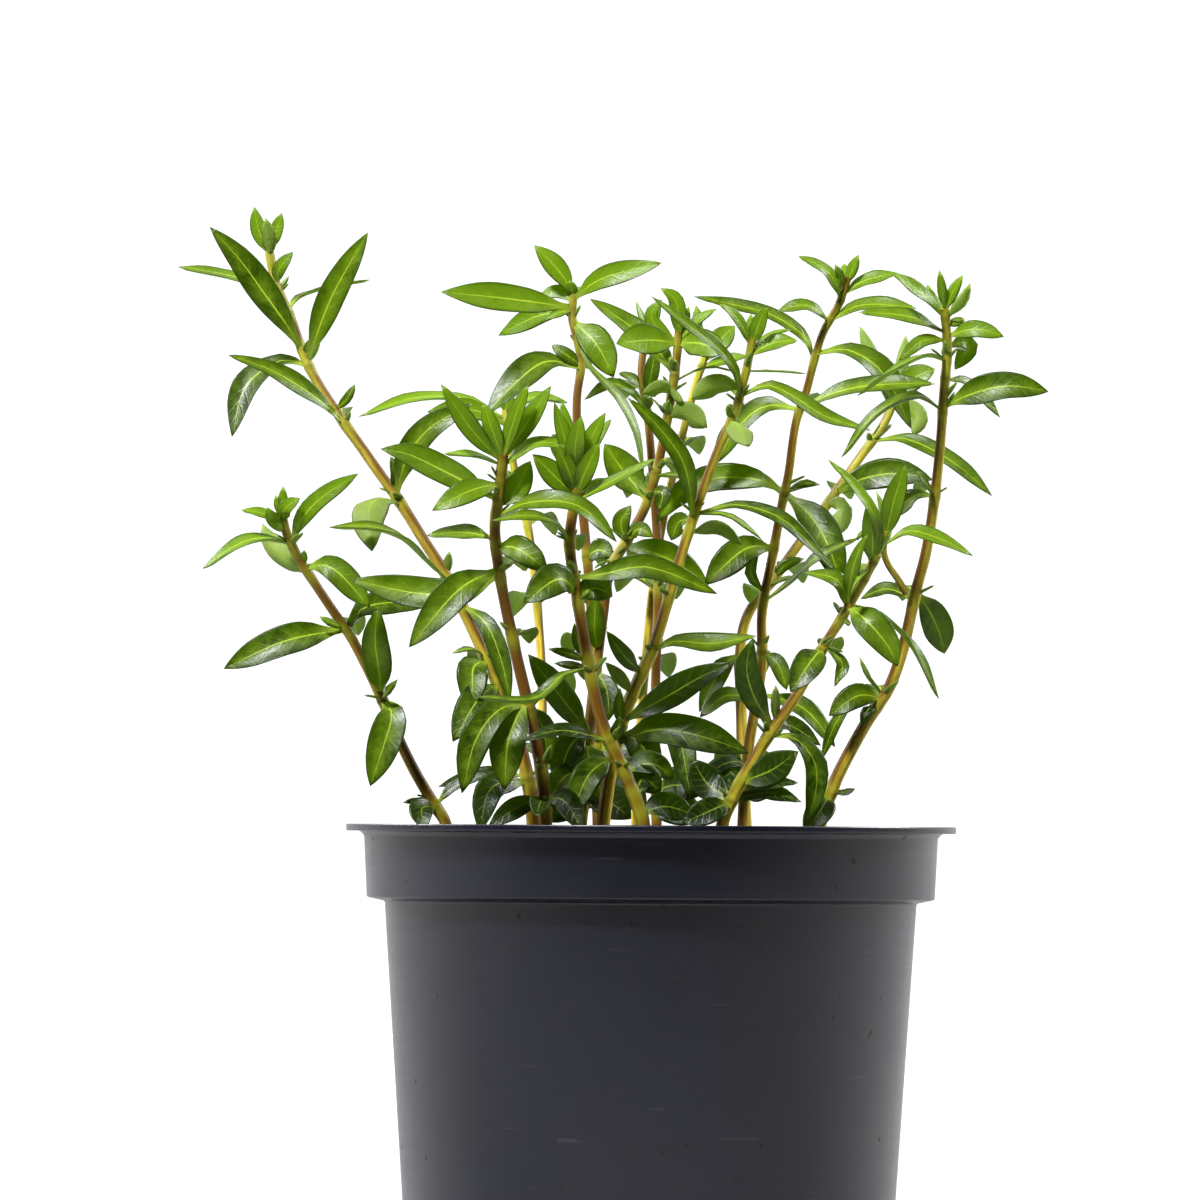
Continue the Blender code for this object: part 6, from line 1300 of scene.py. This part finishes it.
def side_veins(tree, u, off):
    """How much of a side vein there is: stripes at a slant to the midrib, gone at the margin."""
    slant = add(tree, MATHS, u, VEINS_PER_LEAF, operation="MULTIPLY")
    slant = add(tree, MATHS, off, -1.2, slant, operation="MULTIPLY_ADD")
    slant = add(tree, MATHS, add(tree, MATHS, slant, operation="FRACT"), 0.5, operation="SUBTRACT")
    vein = add(tree, RANGE, add(tree, MATHS, slant, operation="ABSOLUTE"), 0.16, 0.0, 0.0, 0.14,
               interpolation_type="SMOOTHSTEP")
    return add(tree, MATHS, vein, add(tree, RANGE, off, 1.0, 0.4), operation="MULTIPLY")


def blade_colour(tree, u, off, green, vein, shade):
    """Upper side with veins, painted margin shade, dark tip, midrib and pale stalk; the paler lower side.
    """
    veined = add(tree, MIX, {"Factor": vein, 6: green, 7: linear(LEAF_VEIN_AND_PAINTED_LIGHT)}, **OF_COLOURS)
    # Painted shade darkens the margin; the dark point at the tip is the leaf's own
    margin = add(tree, RANGE, off, 0.72, 1.0, 0.0, 0.8, interpolation_type="SMOOTHSTEP")
    point = add(tree, RANGE, u, 0.93, 1.0, 0.0, 0.8)
    margin = add(tree, MATHS, margin, point, operation="MAXIMUM")
    edged = add(tree, MIX, {"Factor": margin, 6: veined, 7: linear(LEAF_MARGIN_SHADE_AND_TIP)}, **OF_COLOURS)

    # The midrib is broad at the foot and gone at the tip, and dulled by painted shade deep in the bunch
    rib_edge = add(tree, RANGE, u, 0.0, 1.0, 0.12, 0.02)
    rib_core = add(tree, MATHS, rib_edge, 0.25, operation="MULTIPLY")
    rib = add(tree, RANGE, off, rib_edge, rib_core)
    clear = add(tree, MATHS, shade, -0.8, 1.0, operation="MULTIPLY_ADD")
    rib = add(tree, MATHS, rib, clear, operation="MULTIPLY")
    ribbed = add(tree, MIX, {"Factor": rib, 6: edged, 7: linear(LEAF_RIB)}, **OF_COLOURS)
    stalk = add(tree, RANGE, u, 0.26, 0.05, 0.0, 0.85, interpolation_type="SMOOTHSTEP")
    upper = add(tree, MIX, {"Factor": stalk, 6: ribbed, 7: linear(LEAF_FOOT)}, **OF_COLOURS)
    pale = add(tree, MATHS, rib, 0.4, 0.6, operation="MULTIPLY_ADD")
    lower = add(tree, MIX, {"Factor": pale, 6: edged, 7: linear(LEAF_UNDER)}, **OF_COLOURS)
    return upper, lower


def leaf_blade():
    """Waxy green blade with a pale midrib and side veins, that light shines through."""
    material, tree = new_material("waxy_leaf_blade")
    flat = add(tree, "ShaderNodeUVMap", uv_map="UVMap")
    u = add(tree, "ShaderNodeSeparateXYZ", flat, out="X")
    off = add(tree, MATHS, u.node.outputs["Y"], 2.0, -1.0, operation="MULTIPLY_ADD")
    off = add(tree, MATHS, off, operation="ABSOLUTE")
    spot = add(tree, "ShaderNodeTexCoord", out="Object")
    mottle = add(tree, NOISE, {"Vector": spot, "Scale": 620.0, "Detail": 5.0, "Roughness": 0.7})
    cells = add(tree, NOISE, {"Vector": spot, "Scale": 3200.0, "Detail": 2.0})
    shade = add(tree, ATTRIBUTE, out="Fac", attribute_name="shade")
    sheet = add(tree, ATTRIBUTE, out="Fac", attribute_name="sheet")
    under = add(tree, RANGE, sheet, 0.1, -0.1)

    green = blade_green(tree, off, mottle, shade)
    vein = side_veins(tree, u, off)
    upper, lower = blade_colour(tree, u, off, green, vein, shade)
    colour = add(tree, MIX, {"Factor": under, 6: upper, 7: lower}, **OF_COLOURS)

    height = add(tree, MATHS, cells, 0.3, mottle, operation="MULTIPLY_ADD")
    height = add(tree, MATHS, vein, -1.5, height, operation="MULTIPLY_ADD")
    relief = add(tree, "ShaderNodeBump", {"Height": height, "Strength": 0.45, "Distance": 0.00012})
    rough = add(tree, RANGE, mottle, 0.3, 0.7, 0.26, 0.44)
    rough = add(tree, MATHS, under, 0.2, rough, operation="MULTIPLY_ADD")
    surface = add(tree, "ShaderNodeBsdfPrincipled",
                  {"Base Color": colour, "Roughness": rough, "IOR": LEAF_IOR, "Specular IOR Level": 0.4,
                   "Normal": relief})
    glow_colour = add(tree, MIX, {"Factor": 0.5, 6: colour, 7: linear(LEAF_SHINE_THROUGH)}, **OF_COLOURS)
    glow = add(tree, "ShaderNodeBsdfTranslucent", {"Color": glow_colour, "Normal": relief})
    both = add(tree, "ShaderNodeMixShader", TRANSLUCENT_SHARE, surface, glow)
    add(tree, "ShaderNodeOutputMaterial", both)
    return material


LEAF_BLADE = leaf_blade()
BLADE_TREE = blade_tree()
print("The blade tree has", len(BLADE_TREE.nodes), "nodes")

# %% [markdown]
# ## Growing the leaves
#
# A leaf's guide is its midrib, a chain of points that carries the blade's half width, the way its upper
# side looks, how young it is, and how much painted shade it gets. Broad leaves are pieces of their own,
# because their solids are. The small ones of a stem are joined into one piece, with fewer faces each,
# because there are hundreds of them. Young leaves are those near the tip, and leaves deep in the bunch
# get painted shade. Each joint also carries a few scale-like first leaves of side buds, two or three
# millimetres long. They follow no table: a seeded random choice sets them.

# %% Grow the leaves
MIDRIB_STEPS = 12
CROWN_REACH = 9.0
LOW_HEIGHT = 20.0
FULL_YOUTH = 0.8
FULL_SHADE = 0.8
BUD_SHARE = 0.75
BLADE_MESH = {"Sides": 14, "Rings": 20}
SMALL_MESH = {"Sides": 10, "Rings": 12}
BUD_MESH = {"Sides": 6, "Rings": 6}
GUIDE_MARKS = ("foot", "half_width", "look", "leaf")


def leaf_chain(curve, lean, top, row):
    """A leaf's midrib and what the tree needs to know of it."""
    height, width, face, _ = row
    line = evenly(midrib(curve, lean, row), MIDRIB_STEPS)
    numbers = {
        "foot": [1.0] + [0.0] * MIDRIB_STEPS,
        "half_width": width * MM / 2,
        "look": tuple(float(c) for c in face),
        "youth": max(0.0, min(1.0, 1 - (top - height) / CROWN_REACH)) * FULL_YOUTH,
        "shade": max(0.0, 1 - max(0.0, height) / LOW_HEIGHT) * FULL_SHADE,
    }
    return line, numbers


def side_buds(name, path, lean, seed):
    """Rows of the tiny first leaves of side buds, in the corners of some joints."""
    chance = random.Random(seed)
    curve = stem_curve(path, lean)
    rows = []
    for height in joints_of(name)[:-1]:
        if chance.random() > BUD_SHARE:
            continue
        foot = min(curve, key=lambda p: abs(p.z - POT_HEIGHT - height * MM))
        back = lean * (max(height, 0) / LEAN_HEIGHT) ** 2
        x, y = foot.x / MM, foot.y / MM - back
        for _ in range(chance.randint(2, 4)):
            turn = chance.uniform(0, 2 * math.pi)
            out, rise = chance.uniform(0.9, 1.7), chance.uniform(0.8, 2.0)
            tip = (x + out * math.cos(turn), y + out * math.sin(turn), height + rise)
            rows.append((height, chance.uniform(0.6, 1.0), (-math.cos(turn), -math.sin(turn), 1), [tip]))
    return rows


def grow_leaves(name, path, lean, seed):
    """The leaves of one stem: each broad one in place of its solid, and the small ones in one piece."""
    curve = stem_curve(path, lean)
    top = path[-1][2]
    faces = 0
    for number, row in enumerate(BROAD_LEAVES.get(name, []), 1):
        label = name.replace("stem", "leaf") + f"_{number}"
        guide = chain_mesh(label, [leaf_chain(curve, lean, top, row)])
        blade = grown(label.replace("leaf", "blade"), guide, BLADE_TREE,
                      {**BLADE_MESH, "Seed": seed + number}, LEAF_BLADE, drop=GUIDE_MARKS)
        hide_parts(label)
        faces += len(blade.data.polygons)
    buds = [row for row in YOUNG_LEAVES[name] if row[1] <= BUD_WIDTH] + side_buds(name, path, lean, seed)
    small = [row for row in YOUNG_LEAVES[name] if row[1] > BUD_WIDTH]
    for kind, rows, mesh_size in (("buds", buds, BUD_MESH), ("small_leaves", small, SMALL_MESH)):
        if rows:
            guide = chain_mesh(name + kind, [leaf_chain(curve, lean, top, row) for row in rows])
            blade = grown(name.replace("stem", kind), guide, BLADE_TREE,
                          {**mesh_size, "Seed": seed}, LEAF_BLADE, drop=GUIDE_MARKS)
            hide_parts(name)
            faces += len(blade.data.polygons)
    return faces


total = 0
for place_in_row, (name, row) in enumerate(ALL_STEMS.items()):
    total += grow_leaves(name, row[3], row[2], 100 * place_in_row)
print("Leaf faces:", total)

# %% [markdown]
# ## The pot
#
# The pot is injection moulded in black polypropylene: a thin wall of one thickness with a flat rim, a
# collar, and a step below it. A mould's corners are never sharp, so the profile's corners are rounded
# before it is turned. A lathe in code is the plain way: one closed profile, turned round the Z axis.

# %% Turn the pot
POT_TURNS = 192
CORNER_RADIUS = 0.00018
CORNER_STEPS = 4


def rounded(profile, radius, steps=CORNER_STEPS):
    """A profile with its corners cut to small arcs. The first and last points stay."""
    line = [profile[0]]
    for before, corner, after in zip(profile, profile[1:], profile[2:]):
        a, b, c = Vector(before), Vector(corner), Vector(after)
        reach = min(radius, (a - b).length * 0.45, (c - b).length * 0.45)
        start, end = b + (a - b).normalized() * reach, b + (c - b).normalized() * reach
        for i in range(steps + 1):
            t = i / steps
            line.append(tuple(start.lerp(b, t).lerp(b.lerp(end, t), t)))
    return line + [profile[-1]]


def turned(name, profile, sides):
    """A closed mesh turned round the Z axis from a profile of (radius, height), from axis to axis."""
    points = [(0, 0, profile[0][1]), (0, 0, profile[-1][1])]
    rings = []
    for radius, height in profile[1:-1]:
        rings.append(range(len(points), len(points) + sides))
        for i in range(sides):
            angle = 2 * math.pi * i / sides
            points.append((radius * math.cos(angle), radius * math.sin(angle), height))
    faces = []
    for i in range(sides):
        j = (i + 1) % sides
        faces.append((0, rings[0][j], rings[0][i]))
        for low, high in zip(rings, rings[1:]):
            faces.append((low[i], low[j], high[j], high[i]))
        faces.append((rings[-1][i], rings[-1][j], 1))
    mesh = bpy.data.meshes.new(name)
    mesh.from_pydata(points, [], faces)
    mesh.shade_smooth()
    return mesh


def pot_profile():
    """The pot's outside from its underside up to the rim, then its inside down to the floor."""
    collar_foot = POT_HEIGHT - COLLAR_DEPTH
    step_foot = collar_foot - LEDGE_RISE
    flange = POT_HEIGHT - RIM_THICKNESS
    return [
        (0, 0),
        (BASE_RADIUS - FOOT_BEVEL, 0),
        (BASE_RADIUS, FOOT_BEVEL),
        (STEP_RADIUS, step_foot),
        (COLLAR_FOOT_RADIUS, collar_foot),
        (COLLAR_TOP_RADIUS, flange - FILLET),
        (COLLAR_TOP_RADIUS + FILLET, flange),
        (RIM_RADIUS, flange),
        (RIM_RADIUS, POT_HEIGHT),
        (COLLAR_TOP_RADIUS - WALL, POT_HEIGHT),
        (COLLAR_FOOT_RADIUS - WALL, collar_foot + WALL),
        (STEP_RADIUS - WALL, step_foot + WALL),
        (BASE_RADIUS - WALL, WALL),
        (0, WALL),
    ]


print("The pot's profile has", len(pot_profile()), "points before its corners are rounded")

# %% [markdown]
# ## Moulded black polypropylene
#
# Polypropylene straight from the mould is satin, not glossy, and its carbon black looks slightly blue.
# The eye sees faint level lines where the mould was turned, a soft orange-peel relief, a few handling
# scratches, and dark specks of potting dirt. The lines are 0.25 mm apart.

# %% Moulded polypropylene
POT_BLACK = "#080815"
POT_GREY = "#0E0E1D"
POT_DUST = "#5A5A62"
POT_DIRT = "#050504"
POT_IOR = 1.49


def pot_plastic():
    """Satin black plastic with faint turning lines, scratches and specks."""
    material, tree = new_material("moulded_black_polypropylene")
    spot = add(tree, "ShaderNodeTexCoord", out="Object")
    cloud = add(tree, NOISE, {"Vector": spot, "Scale": 60.0, "Detail": 3.0})
    peel = add(tree, NOISE, {"Vector": spot, "Scale": 900.0, "Detail": 2.0})
    level = add(tree, "ShaderNodeMapping", {"Vector": spot, "Scale": (20.0, 20.0, 4000.0)})
    lines = add(tree, NOISE, {"Vector": level, "Scale": 1.0, "Detail": 2.0})

    # Dark specks everywhere, and a few thin scratches at a slant
    specks = add(tree, NOISE, {"Vector": spot, "Scale": 620.0, "Detail": 1.0})
    dirt = add(tree, RANGE, specks, 0.75, 0.78)
    slanted = add(tree, "ShaderNodeMapping",
                  {"Vector": spot, "Rotation": (0.9, 0.5, 0.2), "Scale": (160.0, 160.0, 1700.0)})
    scratches = add(tree, NOISE, {"Vector": slanted, "Scale": 1.0, "Detail": 0.0})
    scratched = add(tree, RANGE, scratches, 0.8, 0.84, 0.0, 0.12)

    shade = add(tree, RANGE, cloud, 0.35, 0.65)
    body = add(tree, MIX, {"Factor": shade, 6: linear(POT_BLACK), 7: linear(POT_GREY)}, **OF_COLOURS)
    body = add(tree, MIX, {"Factor": scratched, 6: body, 7: linear(POT_DUST)}, **OF_COLOURS)
    body = add(tree, MIX, {"Factor": dirt, 6: body, 7: linear(POT_DIRT)}, **OF_COLOURS)
    rough = add(tree, RANGE, cloud, 0.3, 0.7, 0.27, 0.35)
    rough = add(tree, MATHS, lines, 0.06, rough, operation="MULTIPLY_ADD")
    rough = add(tree, MATHS, dirt, 0.3, rough, operation="MULTIPLY_ADD")
    height = add(tree, MATHS, dirt, 2.0, peel, operation="MULTIPLY_ADD")
    height = add(tree, MATHS, lines, 0.6, height, operation="MULTIPLY_ADD")
    relief = add(tree, "ShaderNodeBump", {"Height": height, "Strength": 0.15, "Distance": 0.00005})
    surface = add(tree, "ShaderNodeBsdfPrincipled",
                  {"Base Color": body, "Roughness": rough, "IOR": POT_IOR, "Normal": relief})
    add(tree, "ShaderNodeOutputMaterial", surface)
    return material


pot_mesh = turned("moulded_pot", rounded(pot_profile(), CORNER_RADIUS), POT_TURNS)
pot = settle("moulded_pot", pot_mesh, pot_plastic())
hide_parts("pot")
print("The pot has", len(pot.data.polygons), "faces")

# %% [markdown]
# ## Mineral wool
#
# The stems stand in a plug of mineral wool, spun stone fibres pressed into a felt. It is matt, damp in
# patches and grey-brown, and the loose fibres on its top are lighter than the felt below them. The shader
# reads a mark on the fibres to tell them apart.

# %% Damp mineral wool
WOOL_DARK = "#3A3222"
WOOL_LIGHT = "#8C8062"


def damp_wool():
    """Matt grey-brown felt, lighter where fibres stand up."""
    material, tree = new_material("damp_mineral_wool")
    spot = add(tree, "ShaderNodeTexCoord", out="Object")
    felt = add(tree, NOISE, {"Vector": spot, "Scale": 380.0, "Detail": 4.0, "Roughness": 0.6})
    damp = add(tree, NOISE, {"Vector": spot, "Scale": 90.0, "Detail": 2.0})
    fibre = add(tree, ATTRIBUTE, out="Fac", attribute_name="fibre")
    light_share = add(tree, RANGE, felt, 0.35, 0.65, 0.0, 0.6)
    light_share = add(tree, MATHS, fibre, 0.35, light_share, operation="MULTIPLY_ADD")
    wet = add(tree, RANGE, damp, 0.4, 0.6, 0.45, 1.0)
    light_share = add(tree, MATHS, light_share, wet, operation="MULTIPLY")
    colour = add(tree, MIX, {"Factor": light_share, 6: linear(WOOL_DARK), 7: linear(WOOL_LIGHT)},
                 **OF_COLOURS)
    rough = add(tree, RANGE, damp, 0.4, 0.6, 0.55, 0.9)
    relief = add(tree, "ShaderNodeBump", {"Height": felt, "Strength": 0.7, "Distance": 0.0003})
    surface = add(tree, "ShaderNodeBsdfPrincipled",
                  {"Base Color": colour, "Roughness": rough, "Normal": relief})
    add(tree, "ShaderNodeOutputMaterial", surface)
    return material


DAMP_WOOL = damp_wool()
print("Damp wool has", len(DAMP_WOOL.node_tree.nodes), "nodes")

# %% [markdown]
# ## The plug and its fibres
#
# The plug is turned like the pot. A geometry tree dents it with noise and scatters short fibres over its
# top, each a bent three-sided rod, and makes one plain mesh of them all. The fibres keep within a round
# field, so that none pokes into the pot's wall. Real fibres are 0.005 mm thin. These are 0.1 mm, as if a
# few dozen cling together.

# %% The plug and its fibres
WOOL_TURNS = 96
WOOL_RINGS = 24
WOOL_SEED = 5
FIBRES_PER_SQUARE_METRE = 1400000.0


def bent_fibre(tree, given):
    """One fibre: a three-sided rod along a bow."""
    half = add(tree, MATHS, given["Fibre length"], 0.5, operation="MULTIPLY")
    lift = add(tree, MATHS, given["Fibre length"], 0.28, operation="MULTIPLY")
    start = add(tree, "ShaderNodeCombineXYZ", add(tree, MATHS, half, -1.0, operation="MULTIPLY"))
    middle = add(tree, "ShaderNodeCombineXYZ", {"Y": lift, "Z": lift})
    end = add(tree, "ShaderNodeCombineXYZ", half)
    arc = add(tree, "GeometryNodeCurveQuadraticBezier",
              {"Resolution": 4, "Start": start, "Middle": middle, "End": end})
    three_sided = add(tree, "GeometryNodeCurvePrimitiveCircle",
                      {"Resolution": 3, "Radius": given["Fibre radius"]})
    fibre = add(tree, "GeometryNodeCurveToMesh",
                {"Curve": arc, "Profile Curve": three_sided, "Fill Caps": True})
    return add(tree, STORE, {"Geometry": fibre, "Name": "fibre", "Value": 1.0}, **FLOAT_ON_POINTS)


def wool_tree():
    """The plug dented by noise, with fibres scattered over its top."""
    tree, given = new_geometry_tree("fibres on the plug", [
        ("Fibres per square metre", "NodeSocketFloat", FIBRES_PER_SQUARE_METRE),
        ("Fibre length", "NodeSocketFloat", 0.0024),
        ("Fibre radius", "NodeSocketFloat", 0.00005),
        ("Fibre field", "NodeSocketFloat", 0.0237),
        ("Dents", "NodeSocketFloat", 0.0005),
        ("Seed", "NodeSocketInt", WOOL_SEED),
    ])
    spot = add(tree, "GeometryNodeInputPosition")
    noise = add(tree, NOISE, {"Vector": spot, "Scale": 260.0, "Detail": 3.0}, out="Fac")
    dent = add(tree, RANGE, noise, 0.3, 0.7, -1.0, 0.0)
    dent = add(tree, MATHS, dent, given["Dents"], operation="MULTIPLY")
    moved = add(tree, "ShaderNodeCombineXYZ", {"Z": dent})
    normal = add(tree, "GeometryNodeInputNormal")
    z = add(tree, "ShaderNodeSeparateXYZ", normal, out="Z")
    on_top = add(tree, "FunctionNodeCompare", z, 0.7, operation="GREATER_THAN")
    plug = add(tree, "GeometryNodeSetPosition",
               {"Geometry": given["Geometry"], "Selection": on_top, "Offset": moved})
    flat = add(tree, VECTOR, spot, (1.0, 1.0, 0.0), operation="MULTIPLY")
    from_axis = add(tree, VECTOR, flat, out="Value", operation="LENGTH")
    inside = add(tree, "FunctionNodeCompare", from_axis, given["Fibre field"], operation="LESS_THAN")
    here = add(tree, "FunctionNodeBooleanMath", on_top, inside, operation="AND")
    points = add(tree, "GeometryNodeDistributePointsOnFaces",
                 {"Mesh": plug, "Selection": here, "Density": given["Fibres per square metre"],
                  "Seed": given["Seed"]})

    fibre = bent_fibre(tree, given)
    tilt = add(tree, "FunctionNodeRandomValue",
               {0: (-0.35, -0.35, 0.0), 1: (0.35, 0.35, 6.283), "Seed": given["Seed"]},
               data_type="FLOAT_VECTOR")
    size = add(tree, "FunctionNodeRandomValue", {2: 0.5, 3: 1.3, "Seed": given["Seed"]}, out=1)
    tangle = add(tree, "GeometryNodeInstanceOnPoints",
                 {"Points": points, "Instance": fibre, "Rotation": tilt, "Scale": size})
    whole = add(tree, "GeometryNodeJoinGeometry", plug)
    tree.links.new(tangle, whole.node.inputs[0])
    whole = add(tree, "GeometryNodeRealizeInstances", whole)
    whole = add(tree, "GeometryNodeSetShadeSmooth", whole)
    whole = add(tree, "GeometryNodeSetMaterial", {"Geometry": whole, "Material": DAMP_WOOL})
    add(tree, "NodeGroupOutput", whole)
    return tree


def wool_profile():
    """The plug's outline, with a few rings on its top for the dents."""
    step = POT_HEIGHT - COLLAR_DEPTH
    top = POT_HEIGHT - WOOL_BELOW_RIM
    low = WALL + GAP
    foot_radius = BASE_RADIUS - WALL - WOOL_CLEARANCE
    top_radius = STEP_RADIUS - WALL - WOOL_CLEARANCE
    rings = [(top_radius * (1 - i / WOOL_RINGS), top) for i in range(1, WOOL_RINGS)]
    return [(0, low), (foot_radius, low), (top_radius, step), (top_radius, top), *rings, (0, top)]


plug_mesh = turned("plug_of_wool", wool_profile(), WOOL_TURNS)
wool = grown("plug_of_wool", plug_mesh, wool_tree(), {"Seed": WOOL_SEED}, DAMP_WOOL)
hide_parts("mineral_wool")
print("The plug has", len(wool.data.polygons), "faces")
